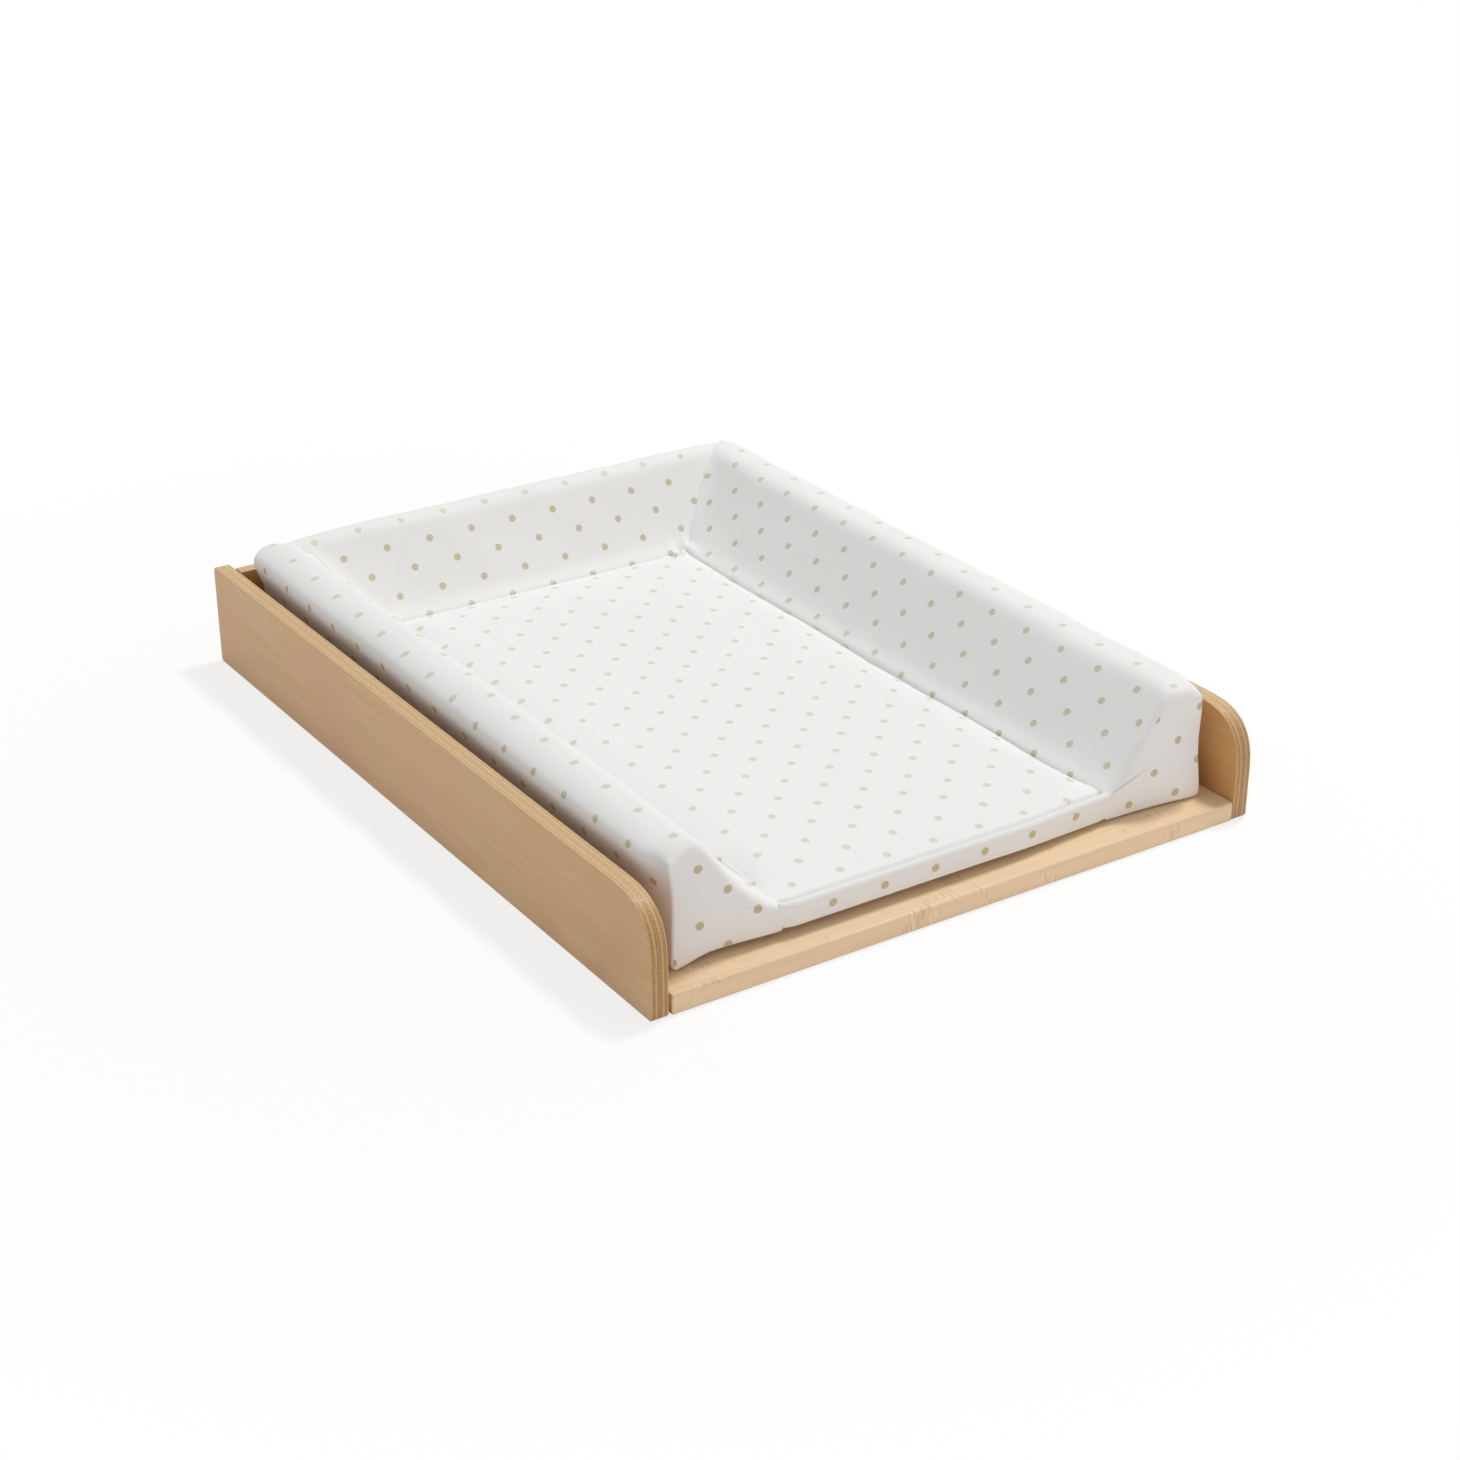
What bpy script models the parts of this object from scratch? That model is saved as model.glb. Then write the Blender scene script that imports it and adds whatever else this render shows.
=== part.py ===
# Wooden changing top: a plywood tray that holds a padded changing mat with three raised sides.
# Metres, +Z up. X runs across the tray, the open front faces -Y, and the tray stands on Z = 0.
# The origin lies under the middle of the tray.

import math

import bmesh
import bpy
from mathutils import Matrix, Vector

# Tray
tray_width = 0.570
tray_depth = 0.745
panel_height = 0.092
panel_thickness = 0.015
panel_corner_radius = 0.045
panel_arris = 0.0008
touch_gap = 0.0003

# Front rail, a flat beech board between the side panels
rail_height = 0.017
rail_depth = 0.070
rail_arris = 0.0016
rail_left_gap = 0.0028
rail_right_gap = 0.0005
rail_rebate_depth = 0.012

# Rear board, upright between the side panels
rear_board_thickness = 0.012
rear_board_inset = 0.012
rear_board_end_gap = 0.0005
rear_board_arris = 0.0010

# Base panel, and the battens that carry it
base_thickness = 0.005
base_edge_gap = 0.0005
base_arris = 0.0004
batten_width = 0.018
batten_arris = 0.0010
batten_end_gap = 0.0010

# Dowels, glued into blind bores
rail_dowel_diameter = 0.008
rear_dowel_diameter = 0.006
dowel_bite = 0.020
dowel_chamfer = 0.0008
bore_clearance = 0.00025
bore_end_gap = 0.0005
panel_bite_share = 0.6
rail_dowel_shares = (0.25, 0.62)
rear_dowel_shares = (0.26, 0.76)

# Countersunk wood screws
screw_shank_diameter = 0.0035
screw_head_diameter = 0.0070
screw_head_height = 0.0022
screw_tip_length = 0.0035
screw_clearance = 0.00025
screw_tip_share = 0.25
base_screw_bite_share = 0.7
batten_screw_shares = (0.12, 0.50, 0.88)
base_screw_shares = (0.30, 0.70)
cross_screw_shares = (0.22, 0.78)

# Changing mat
mat_side_gap = 0.019
mat_offset = 0.0015
mat_front_setback = 0.028
mat_back_gap = 0.003
mat_corner_radius = 0.020
mat_lining_thickness = 0.001
mat_lining_inset = 0.004
cushion_gap = 0.0005
cushion_edge_radius = 0.005
pad_thickness = 0.0235
pad_crown = 0.005
pad_shoulder = 0.016
pad_seam_setback = 0.006
pad_seam_depth = 0.0012
bolster_height = 0.098
bolster_crest_crown = 0.003
bolster_slope_crown = 0.002
bolster_top_radius = 0.014
side_bolster_foot = 0.094
side_bolster_top = 0.028
side_bolster_bulge = 0.004
back_bolster_foot = 0.072
back_bolster_bulge = 0.002

# Shares of a bolster's height, bulge and slope that shape its outline
bulge_shares = ((0.06, 0.25), (0.35, 0.8), (0.62, 1.0))
slope_shares = ((0.25, 1.0), (0.50, 0.6), (0.75, -0.6))
pad_width_shares = (0.02, 0.10, 0.30, 0.50, 0.70, 0.90, 0.98)
end_draw_share = 0.5
cap_ring_shares = (0.95, 0.55)
mitre_overrun_share = 0.2

# Facets and tolerances
arc_steps = 12
dowel_sides = 16
screw_sides = 12
corner_steps = 4
middle_steps = 5
weld_distance = 0.00001
cutter_overrun = 0.001
smooth_angle = math.radians(40)

# Places that several pieces share
half_width = tray_width / 2
half_depth = tray_depth / 2
inner_half_width = half_width - panel_thickness
panel_bite = panel_thickness * panel_bite_share
rail_front = -half_depth
rail_back = rail_front + rail_depth
rebate_front = rail_back - rail_rebate_depth
rear_board_back = half_depth - rear_board_inset
rear_board_front = rear_board_back - rear_board_thickness
batten_height = rail_height - base_thickness - touch_gap
batten_reach = inner_half_width - touch_gap - batten_width
rear_batten_front = rear_board_front - touch_gap - batten_width
side_batten_start = rail_back + batten_end_gap
side_batten_length = rear_board_front - batten_end_gap - side_batten_start
mat_left = -inner_half_width + mat_side_gap + mat_offset
mat_right = inner_half_width - mat_side_gap + mat_offset
mat_front = rail_front + mat_front_setback
mat_back = rear_board_front - mat_back_gap
mat_width = mat_right - mat_left
mat_depth = mat_back - mat_front
mat_bottom = rail_height + touch_gap
cushion_bottom = mat_bottom + mat_lining_thickness + touch_gap

for thing in list(bpy.data.objects):
    bpy.data.objects.remove(thing, do_unlink=True)
parts = bpy.data.collections.new("wooden_changing_top")
cutters = bpy.data.collections.new("cutters")
bpy.context.scene.collection.children.link(parts)
bpy.context.scene.collection.children.link(cutters)


def new_material(name, colour, roughness, metallic=0.0):
    material = bpy.data.materials.new(name)
    material.use_nodes = True
    shader = material.node_tree.nodes["Principled BSDF"]
    shader.inputs["Base Color"].default_value = (*colour, 1.0)
    shader.inputs["Roughness"].default_value = roughness
    shader.inputs["Metallic"].default_value = metallic
    material.diffuse_color = (*colour, 1.0)
    return material


veneer = new_material("beech plywood", (0.47, 0.32, 0.20), 0.55)
beech = new_material("solid beech", (0.70, 0.50, 0.31), 0.50)
base_ply = new_material("base plywood", (0.60, 0.44, 0.28), 0.65)
dowel_wood = new_material("dowel beech", (0.66, 0.47, 0.30), 0.60)
steel = new_material("zinc plated steel", (0.60, 0.60, 0.58), 0.35, 1.0)
cotton = new_material("dotted white cotton", (0.86, 0.86, 0.85), 0.85)
lining = new_material("plain white lining", (0.80, 0.80, 0.79), 0.90)


def add_empty(name, parent=None):
    empty = bpy.data.objects.new(name, None)
    parts.objects.link(empty)
    empty.parent = parent
    return empty


tray = add_empty("tray")
mat = add_empty("mat", tray)


def add_piece(name, mesh, material, parent):
    piece = bpy.data.objects.new(name, mesh)
    parts.objects.link(piece)
    piece.parent = parent
    mesh.materials.append(material)
    return piece


def add_cutter(name, mesh):
    cutter = bpy.data.objects.new(name, mesh)
    cutters.objects.link(cutter)
    cutter.hide_render = True
    cutter.display_type = "WIRE"
    return cutter


def cut(piece, cutter):
    boolean = piece.modifiers.new("cut " + cutter.name, "BOOLEAN")
    boolean.operation = "DIFFERENCE"
    boolean.solver = "EXACT"
    boolean.object = cutter


def point_along(thing, point, direction):
    # Moves a solid to the point and turns its own +Z along the direction
    thing.location = point
    thing.rotation_euler = Vector(direction).to_track_quat("Z", "Y").to_euler()


def box_mesh(name, size):
    mesh = bpy.data.meshes.new(name)
    shape = bmesh.new()
    bmesh.ops.create_cube(shape, size=1.0, matrix=Matrix.Diagonal((*size, 1.0)))
    shape.to_mesh(mesh)
    shape.free()
    return mesh


def evaluated_mesh(guide, name):
    # The mesh that an object's modifiers or curve settings make, welded, with the guide object removed
    bpy.context.view_layer.update()
    mesh = bpy.data.meshes.new_from_object(guide.evaluated_get(bpy.context.evaluated_depsgraph_get()))
    mesh.name = name
    mesh.materials.clear()
    bpy.data.objects.remove(guide, do_unlink=True)
    shape = bmesh.new()
    shape.from_mesh(mesh)
    bmesh.ops.remove_doubles(shape, verts=shape.verts, dist=weld_distance)
    bmesh.ops.recalc_face_normals(shape, faces=shape.faces)
    shape.to_mesh(mesh)
    shape.free()
    return mesh


def outline_mesh(name, outline, thickness, arris=0.0):
    # A flat outline of (x, y) points made solid, with half of its thickness on either side
    curve = bpy.data.curves.new(name, "CURVE")
    curve.dimensions = "2D"
    curve.fill_mode = "BOTH"
    curve.extrude = thickness / 2 - arris
    curve.bevel_depth = arris
    curve.bevel_resolution = 1
    curve.offset = -arris
    spline = curve.splines.new("POLY")
    spline.points.add(len(outline) - 1)
    for point, (x, y) in zip(spline.points, outline):
        point.co = (x, y, 0.0, 1.0)
    spline.use_cyclic_u = True
    guide = bpy.data.objects.new(name + " guide", curve)
    bpy.context.scene.collection.objects.link(guide)
    return evaluated_mesh(guide, name)


def turned_mesh(name, profile, sides):
    # A solid turned about Z from (radius, height) points listed from the top down
    line = bpy.data.meshes.new(name + " profile")
    points = [(radius, 0.0, height) for radius, height in profile]
    line.from_pydata(points, [(k, k + 1) for k in range(len(points) - 1)], [])
    guide = bpy.data.objects.new(name + " guide", line)
    bpy.context.scene.collection.objects.link(guide)
    turn = guide.modifiers.new("turn", "SCREW")
    turn.steps = sides
    turn.render_steps = sides
    turn.use_merge_vertices = True
    turn.merge_threshold = weld_distance
    mesh = evaluated_mesh(guide, name)
    mesh.shade_smooth()
    mesh.set_sharp_from_angle(angle=smooth_angle)
    return mesh


def board_between(name, low, high, arris, material):
    # A squared board between two corners, its edges eased by a small bevel
    low = Vector(low)
    high = Vector(high)
    board = add_piece(name, box_mesh(name, high - low), material, tray)
    board.location = (low + high) / 2
    bevel = board.modifiers.new("arris", "BEVEL")
    bevel.width = arris
    bevel.segments = 2
    return board


def side_panel(name, side):
    # Plywood outline with a quarter-round top front corner, drawn flat and then stood up across X
    radius = panel_corner_radius
    corner_y = rail_front + radius
    corner_z = panel_height - radius
    outline = [(-half_depth, 0.0), (half_depth, 0.0), (half_depth, panel_height)]
    for step in range(arc_steps + 1):
        angle = math.radians(90 + 90 * step / arc_steps)
        outline.append((corner_y + radius * math.cos(angle), corner_z + radius * math.sin(angle)))
    panel = add_piece(name, outline_mesh(name, outline, panel_thickness, panel_arris), veneer, tray)
    panel.location = (side * (half_width - panel_thickness / 2), 0.0, 0.0)
    panel.rotation_euler = (math.radians(90), 0.0, math.radians(90))
    return panel


def front_rail():
    low = (-inner_half_width + rail_left_gap, rail_front, 0.0)
    high = (inner_half_width - rail_right_gap, rail_back, rail_height)
    rail = board_between("front_rail", low, high, rail_arris, beech)
    # The rebate along the rail's back takes the front edge of the base panel
    low = Vector((-half_width, rebate_front, batten_height))
    high = Vector((half_width, rail_back + cutter_overrun, rail_height + cutter_overrun))
    rebate = add_cutter("rail rebate", box_mesh("rail rebate", high - low))
    rebate.location = (low + high) / 2
    cut(rail, rebate)
    return rail


def rear_board():
    low = (-inner_half_width + rear_board_end_gap, rear_board_front, 0.0)
    high = (inner_half_width - rear_board_end_gap, rear_board_back, panel_height)
    return board_between("rear_board", low, high, rear_board_arris, veneer)


def base_panel():
    low = (-inner_half_width + base_edge_gap, rebate_front + base_edge_gap, rail_height - base_thickness)
    high = (inner_half_width - base_edge_gap, rear_board_front - base_edge_gap, rail_height)
    return board_between("base_panel", low, high, base_arris, base_ply)


def side_batten(name, side):
    outer = side * (inner_half_width - touch_gap)
    inner = side * batten_reach
    low = (min(outer, inner), side_batten_start, 0.0)
    high = (max(outer, inner), side_batten_start + side_batten_length, batten_height)
    return board_between(name, low, high, batten_arris, beech)


def rear_batten():
    reach = batten_reach - batten_end_gap
    low = (-reach, rear_batten_front, 0.0)
    high = (reach, rear_batten_front + batten_width, batten_height)
    return board_between("rear_batten", low, high, batten_arris, beech)


def dowel_joint(name, diameter, side, board_end, place, board, panel):
    # A dowel across the joint between a board's end and a side panel, with a blind bore in each.
    # The place holds the dowel's Y and Z.
    outer_end = inner_half_width + panel_bite
    inner_end = board_end - dowel_bite
    length = outer_end - inner_end
    centre = (side * (outer_end + inner_end) / 2, *place)
    radius = diameter / 2
    half = length / 2 - bore_end_gap
    chamfer = min(dowel_chamfer, radius / 2)
    profile = [(0.0, half), (radius - chamfer, half), (radius, half - chamfer), (radius, chamfer - half),
               (radius - chamfer, -half), (0.0, -half)]
    dowel = add_piece(name, turned_mesh(name, profile, dowel_sides), dowel_wood, tray)
    point_along(dowel, centre, (side, 0.0, 0.0))
    wall = radius + bore_clearance
    profile = [(0.0, length / 2), (wall, length / 2), (wall, -length / 2), (0.0, -length / 2)]
    bore = add_cutter(name + " bore", turned_mesh(name + " bore", profile, dowel_sides))
    point_along(bore, centre, (side, 0.0, 0.0))
    cut(board, bore)
    cut(panel, bore)


def screw_profile(length, clearance, overrun):
    # The head's flat face is at height 0 and the tip points down. A hole has a clearance all round,
    # and an overrun that opens it above the head.
    head = screw_head_diameter / 2 + clearance
    shank = screw_shank_diameter / 2 + clearance
    end = -length - clearance
    profile = [(0.0, overrun), (head, overrun)]
    if overrun:
        profile.append((head, 0.0))
    profile += [(shank, -screw_head_height - clearance), (shank, end + screw_tip_length),
                (shank * screw_tip_share, end), (0.0, end)]
    return profile


def wood_screw(name, point, direction, length, pieces):
    # Its head lies just below the face of the first piece and its tip ends inside the last one
    seat = Vector(point) + Vector(direction) * touch_gap
    outward = Vector(direction) * -1
    body = add_piece(name, turned_mesh(name, screw_profile(length, 0.0, 0.0), screw_sides), steel, tray)
    point_along(body, seat, outward)
    profile = screw_profile(length, screw_clearance, cutter_overrun)
    hole = add_cutter(name + " hole", turned_mesh(name + " hole", profile, screw_sides))
    point_along(hole, seat, outward)
    for piece in pieces:
        cut(piece, hole)


def batten_screws(batten, label, panel, side):
    length = batten_width + touch_gap + panel_bite
    for number, share in enumerate(batten_screw_shares, 1):
        point = (side * batten_reach, side_batten_start + side_batten_length * share, batten_height / 2)
        wood_screw(f"{label}_batten_screw_{number}", point, (side, 0, 0), length, (batten, panel))


def rear_batten_screws(batten, board):
    length = batten_width + touch_gap + rear_board_thickness * panel_bite_share
    for number, share in enumerate(batten_screw_shares, 1):
        point = (batten_reach * (2 * share - 1), rear_batten_front, batten_height / 2)
        wood_screw(f"rear_batten_screw_{number}", point, (0, 1, 0), length, (batten, board))


def base_screw(name, x, y, base, carrier):
    length = base_thickness + batten_height * base_screw_bite_share
    wood_screw(name, (x, y, rail_height), (0, 0, -1), length, (base, carrier))


def add_tray():
    left_panel = side_panel("left_side_panel", -1)
    right_panel = side_panel("right_side_panel", 1)
    rail = front_rail()
    board = rear_board()
    base = base_panel()
    back_batten = rear_batten()
    for side, label, panel, rail_gap in ((-1, "left", left_panel, rail_left_gap),
                                         (1, "right", right_panel, rail_right_gap)):
        for number, share in enumerate(rail_dowel_shares, 1):
            place = (rail_front + rail_depth * share, rail_height / 2)
            dowel_joint(f"rail_dowel_{label}_{number}", rail_dowel_diameter, side,
                        inner_half_width - rail_gap, place, rail, panel)
        for number, share in enumerate(rear_dowel_shares, 1):
            place = (rear_board_front + rear_board_thickness / 2, panel_height * share)
            dowel_joint(f"rear_dowel_{label}_{number}", rear_dowel_diameter, side,
                        inner_half_width - rear_board_end_gap, place, board, panel)
        batten = side_batten(f"{label}_batten", side)
        batten_screws(batten, label, panel, side)
        for number, share in enumerate(base_screw_shares, 1):
            base_screw(f"{label}_base_screw_{number}", side * (batten_reach + batten_width / 2),
                       side_batten_start + side_batten_length * share, base, batten)
    rear_batten_screws(back_batten, board)
    for number, share in enumerate(cross_screw_shares, 1):
        across = inner_half_width * (2 * share - 1)
        rear_middle = rear_batten_front + batten_width / 2
        base_screw(f"rear_base_screw_{number}", across, rear_middle, base, back_batten)
        base_screw(f"front_base_screw_{number}", across, (rebate_front + rail_back) / 2, base, rail)


def loft(name, stations, shape_point):
    # A soft solid from outlines of (inward, up) points at stations along it, joined by quads and rounded
    # by one level of subdivision. Smaller outlines and a middle point close each end.
    count = len(stations[0][1])
    points = []
    faces = []
    for along, outline in stations:
        points += [shape_point(u, w, along) for u, w in outline]
    for row in range(len(stations) - 1):
        for k in range(count):
            a = row * count + k
            b = row * count + (k + 1) % count
            faces.append((a, b, b + count, a + count))
    for row in (0, len(stations) - 1):
        along, outline = stations[row]
        rim = [Vector(pair) for pair in outline]
        middle = sum(rim, Vector((0.0, 0.0))) / count
        ring = row * count
        for share in cap_ring_shares:
            inner = len(points)
            points += [shape_point(*middle.lerp(pair, share), along) for pair in rim]
            for k in range(count):
                after = (k + 1) % count
                faces.append((ring + k, ring + after, inner + after, inner + k))
            ring = inner
        points.append(shape_point(*middle, along))
        faces += [(ring + k, ring + (k + 1) % count, len(points) - 1) for k in range(count)]
    mesh = bpy.data.meshes.new(name)
    mesh.from_pydata(points, [], faces)
    shape = bmesh.new()
    shape.from_mesh(mesh)
    bmesh.ops.recalc_face_normals(shape, faces=shape.faces)
    shape.to_mesh(mesh)
    shape.free()
    mesh.shade_smooth()
    cushion = add_piece(name, mesh, cotton, mat)
    rounding = cushion.modifiers.new("round", "SUBSURF")
    rounding.levels = 1
    rounding.render_levels = 1
    return cushion


def bolster_outline(foot, bulge, draw, inset, rise, crown):
    # A wedge as (inward, up) points: bulged outer side, round top, slope that runs out at the foot, and an
    # upright seam. The draw pulls the outline in near an end, the inset moves the outer side round the
    # mat's corner, the rise lifts the crest and the crown swells the slope.
    edge = cushion_edge_radius
    radius = bolster_top_radius
    top = side_bolster_top * foot / side_bolster_foot
    crest = bolster_height + rise - draw
    swell = bulge - draw
    slope = Vector((foot - top, pad_thickness - crest))
    lift = Vector((-slope.y, slope.x)).normalized() * crown
    outline = [(foot / 2, 0.0), (edge, 0.0)]
    outline += [(-swell * bulge_share, crest * up_share) for up_share, bulge_share in bulge_shares]
    outline += [(-swell / 2, crest - radius), (radius / 4, crest - radius / 4)]
    outline += [(radius, crest), (top, crest)]
    for share, lift_share in slope_shares:
        outline.append((top + slope.x * share + lift.x * lift_share,
                        crest + slope.y * share + lift.y * lift_share))
    outline += [(foot, pad_thickness), (foot, pad_thickness / 2), (foot, 0.0)]
    return [(u + inset * max(1 - u / top, 0.0), w) for u, w in outline]


def end_stations(reach):
    # Places near a square end, each with the draw of the outline there
    edge = cushion_edge_radius
    return [(0.0, edge * end_draw_share), (edge / 2, edge * end_draw_share / 4), (reach, 0.0)]


def corner_stations(length):
    # Places round the mat's corner at the far end of a bolster, each with the inset of the outer side
    places = []
    for step in range(corner_steps + 1):
        angle = math.radians(90 * step / corner_steps)
        inset = mat_corner_radius * (1 - math.cos(angle))
        places.append((length - mat_corner_radius * (1 - math.sin(angle)), inset))
    return places


def mitred(bolster, side, from_back):
    # Cuts a bolster along the upright plane from the pad's back corner to the mat's outer corner
    outer_x = mat_right if side > 0 else mat_left
    outer = Vector((outer_x, mat_back))
    run = Vector((side * side_bolster_foot, back_bolster_foot))
    across = Vector((-side * run.y, side * run.x)).normalized() * cushion_gap / 2
    shift = across if from_back else -across
    far = outer + run * mitre_overrun_share + shift
    near = outer - run * (1 + mitre_overrun_share) + shift
    beyond = (far.x, near.y) if from_back else (near.x, far.y)
    low = cushion_bottom - cutter_overrun
    high = cushion_bottom + bolster_height + bolster_crest_crown + cutter_overrun
    name = bolster.name + (" right" if side > 0 else " left") + " mitre"
    cutter = add_cutter(name, outline_mesh(name, [tuple(near), tuple(far), beyond], high - low))
    cutter.location = (0.0, 0.0, (low + high) / 2)
    cut(bolster, cutter)


def side_bolster(name, side):
    # The front end is square. The slope swells between the front and the back bolster.
    outer = mat_left if side < 0 else mat_right
    free_length = mat_depth - back_bolster_foot
    places = [(along, draw, 0.0) for along, draw in end_stations(mat_corner_radius)]
    for step in range(1, middle_steps + 1):
        places.append((free_length * step / middle_steps, 0.0, 0.0))
    places += [(along, 0.0, inset) for along, inset in corner_stations(mat_depth)]
    stations = []
    for along, draw, inset in places:
        rise = bolster_crest_crown * math.sin(math.pi * along / mat_depth)
        crown = bolster_slope_crown * math.sin(math.pi * min(along / free_length, 1.0))
        outline = bolster_outline(side_bolster_foot, side_bolster_bulge, draw, inset, rise, crown)
        stations.append((along, outline))
    bolster = loft(name, stations,
                   lambda u, w, along: (outer - side * u, mat_front + along, cushion_bottom + w))
    mitred(bolster, side, False)


def back_bolster():
    # Both of its ends follow the mat's rounded corners and meet a side bolster in a mitre
    free_length = mat_width - 2 * side_bolster_foot
    places = [(mat_width - along, inset) for along, inset in reversed(corner_stations(mat_width))]
    for step in range(middle_steps + 1):
        places.append((side_bolster_foot + free_length * step / middle_steps, 0.0))
    places += corner_stations(mat_width)
    stations = []
    for along, inset in places:
        rise = bolster_crest_crown * math.sin(math.pi * along / mat_width)
        free_share = min(max((along - side_bolster_foot) / free_length, 0.0), 1.0)
        crown = bolster_slope_crown * math.sin(math.pi * free_share)
        outline = bolster_outline(back_bolster_foot, back_bolster_bulge, 0.0, inset, rise, crown)
        stations.append((along, outline))
    bolster = loft("back_bolster", stations,
                   lambda u, w, along: (mat_left + along, mat_back - u, cushion_bottom + w))
    mitred(bolster, -1, True)
    mitred(bolster, 1, True)


def base_pad():
    # A flat cushion between the bolsters: its crown rises over a shoulder all round, and a seam groove
    # runs along its front edge
    left = mat_left + side_bolster_foot + cushion_gap
    width = mat_right - side_bolster_foot - cushion_gap - left
    length = mat_depth - back_bolster_foot - cushion_gap
    edge = cushion_edge_radius
    seam = pad_seam_setback
    places = [(0.0, edge * end_draw_share, 0.0), (seam / 3, 0.0, 0.0), (seam, 0.0, -pad_seam_depth),
              (seam + edge / 2, 0.0, 0.0), (seam + pad_shoulder, 0.0, pad_crown)]
    places += [(length * step / middle_steps, 0.0, pad_crown) for step in range(1, middle_steps)]
    places += [(length - pad_shoulder, 0.0, pad_crown), (length - edge / 2, 0.0, 0.0),
               (length, edge * end_draw_share, 0.0)]
    stations = []
    for along, draw, lift in places:
        outline = [(width / 2, 0.0), (edge, 0.0), (draw, edge / 2), (draw, pad_thickness - edge)]
        for share in pad_width_shares:
            shoulder = min(width * min(share, 1 - share) / pad_shoulder, 1.0)
            dome = lift * shoulder if lift > 0.0 else lift
            outline.append((width * share, pad_thickness - draw + dome))
        outline += [(width - draw, pad_thickness - edge), (width - draw, edge / 2), (width - edge, 0.0)]
        stations.append((along, outline))
    loft("base_pad", stations, lambda u, w, along: (left + u, mat_front + along, cushion_bottom + w))


def bottom_lining():
    # The cloth under the mat that the cushions are sewn to
    inset = mat_lining_inset
    low = Vector((mat_left + inset, mat_front + inset, mat_bottom))
    high = Vector((mat_right - inset, mat_back - inset, mat_bottom + mat_lining_thickness))
    mesh = box_mesh("mat_lining", high - low)
    shape = bmesh.new()
    shape.from_mesh(mesh)
    upright = [edge for edge in shape.edges if abs(edge.verts[0].co.z - edge.verts[1].co.z) > weld_distance]
    bmesh.ops.bevel(shape, geom=upright, offset=mat_corner_radius, segments=corner_steps, profile=0.5,
                    affect="EDGES")
    shape.to_mesh(mesh)
    shape.free()
    sheet = add_piece("mat_lining", mesh, lining, mat)
    sheet.location = (low + high) / 2


def add_mat():
    bottom_lining()
    base_pad()
    side_bolster("left_bolster", -1)
    side_bolster("right_bolster", 1)
    back_bolster()


add_tray()
add_mat()
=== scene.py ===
import math

import bmesh
import bpy
import numpy as np
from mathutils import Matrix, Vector


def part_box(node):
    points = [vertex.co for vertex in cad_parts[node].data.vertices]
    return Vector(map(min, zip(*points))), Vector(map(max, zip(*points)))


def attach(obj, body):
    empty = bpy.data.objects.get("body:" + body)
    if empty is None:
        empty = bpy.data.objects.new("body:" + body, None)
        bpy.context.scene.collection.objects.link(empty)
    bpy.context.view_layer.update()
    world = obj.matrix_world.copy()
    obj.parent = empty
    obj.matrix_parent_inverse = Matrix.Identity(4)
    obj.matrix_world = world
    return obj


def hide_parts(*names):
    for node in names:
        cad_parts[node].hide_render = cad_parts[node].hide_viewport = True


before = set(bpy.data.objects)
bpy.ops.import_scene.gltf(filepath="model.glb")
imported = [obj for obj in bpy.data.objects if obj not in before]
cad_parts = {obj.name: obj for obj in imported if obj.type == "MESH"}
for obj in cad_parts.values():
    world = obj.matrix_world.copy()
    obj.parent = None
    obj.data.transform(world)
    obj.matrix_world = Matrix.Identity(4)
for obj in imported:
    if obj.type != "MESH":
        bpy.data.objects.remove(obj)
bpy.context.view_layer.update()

print("frame loaded")


# ---- camera, light and floor

view = {"place": (-1.1162, -1.7301, 1.0034), "yaw": 33.48, "pitch": 25.91, "lens": 65.18}

cameraData = bpy.data.cameras.new("camera")
cameraData.lens = view["lens"]
cameraData.sensor_width = 36.0
camera = bpy.data.objects.new("camera", cameraData)
bpy.context.scene.collection.objects.link(camera)
camera.location = view["place"]
camera.rotation_euler = (math.radians(90 - view["pitch"]), 0.0, math.radians(-view["yaw"]))
bpy.context.scene.camera = camera
bpy.context.scene.view_settings.view_transform = "Standard"

light = {"sky": 0.50, "target": (0.0, 0.0, 0.05), "keyPower": 127.0, "keySize": 0.7, "keyPlace": (1.9, 0.35, 4.75),
         "fillPower": 6.2, "fillSize": 1.0, "fillPlace": (0.6, -2.85, 0.40), "fillColour": (1.0, 0.71, 0.59),
         "floorReach": 20.0, "floorShade": 0.95, "floorGlow": 0.76, "glowReach": (0.45, 1.1)}


def addLamp(name, place, size, power):
    # A square soft box that faces the middle of the part
    lampData = bpy.data.lights.new(name, "AREA")
    lampData.shape = "SQUARE"
    lampData.size = size
    lampData.energy = power
    lamp = bpy.data.objects.new(name, lampData)
    bpy.context.scene.collection.objects.link(lamp)
    lamp.location = place
    lamp.rotation_euler = (Vector(light["target"]) - Vector(place)).to_track_quat("-Z", "Y").to_euler()
    return lamp


addLamp("softBox", light["keyPlace"], light["keySize"], light["keyPower"])
fill = addLamp("frontFill", light["fillPlace"], light["fillSize"], light["fillPower"])
fill.data.color = light["fillColour"]


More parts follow.
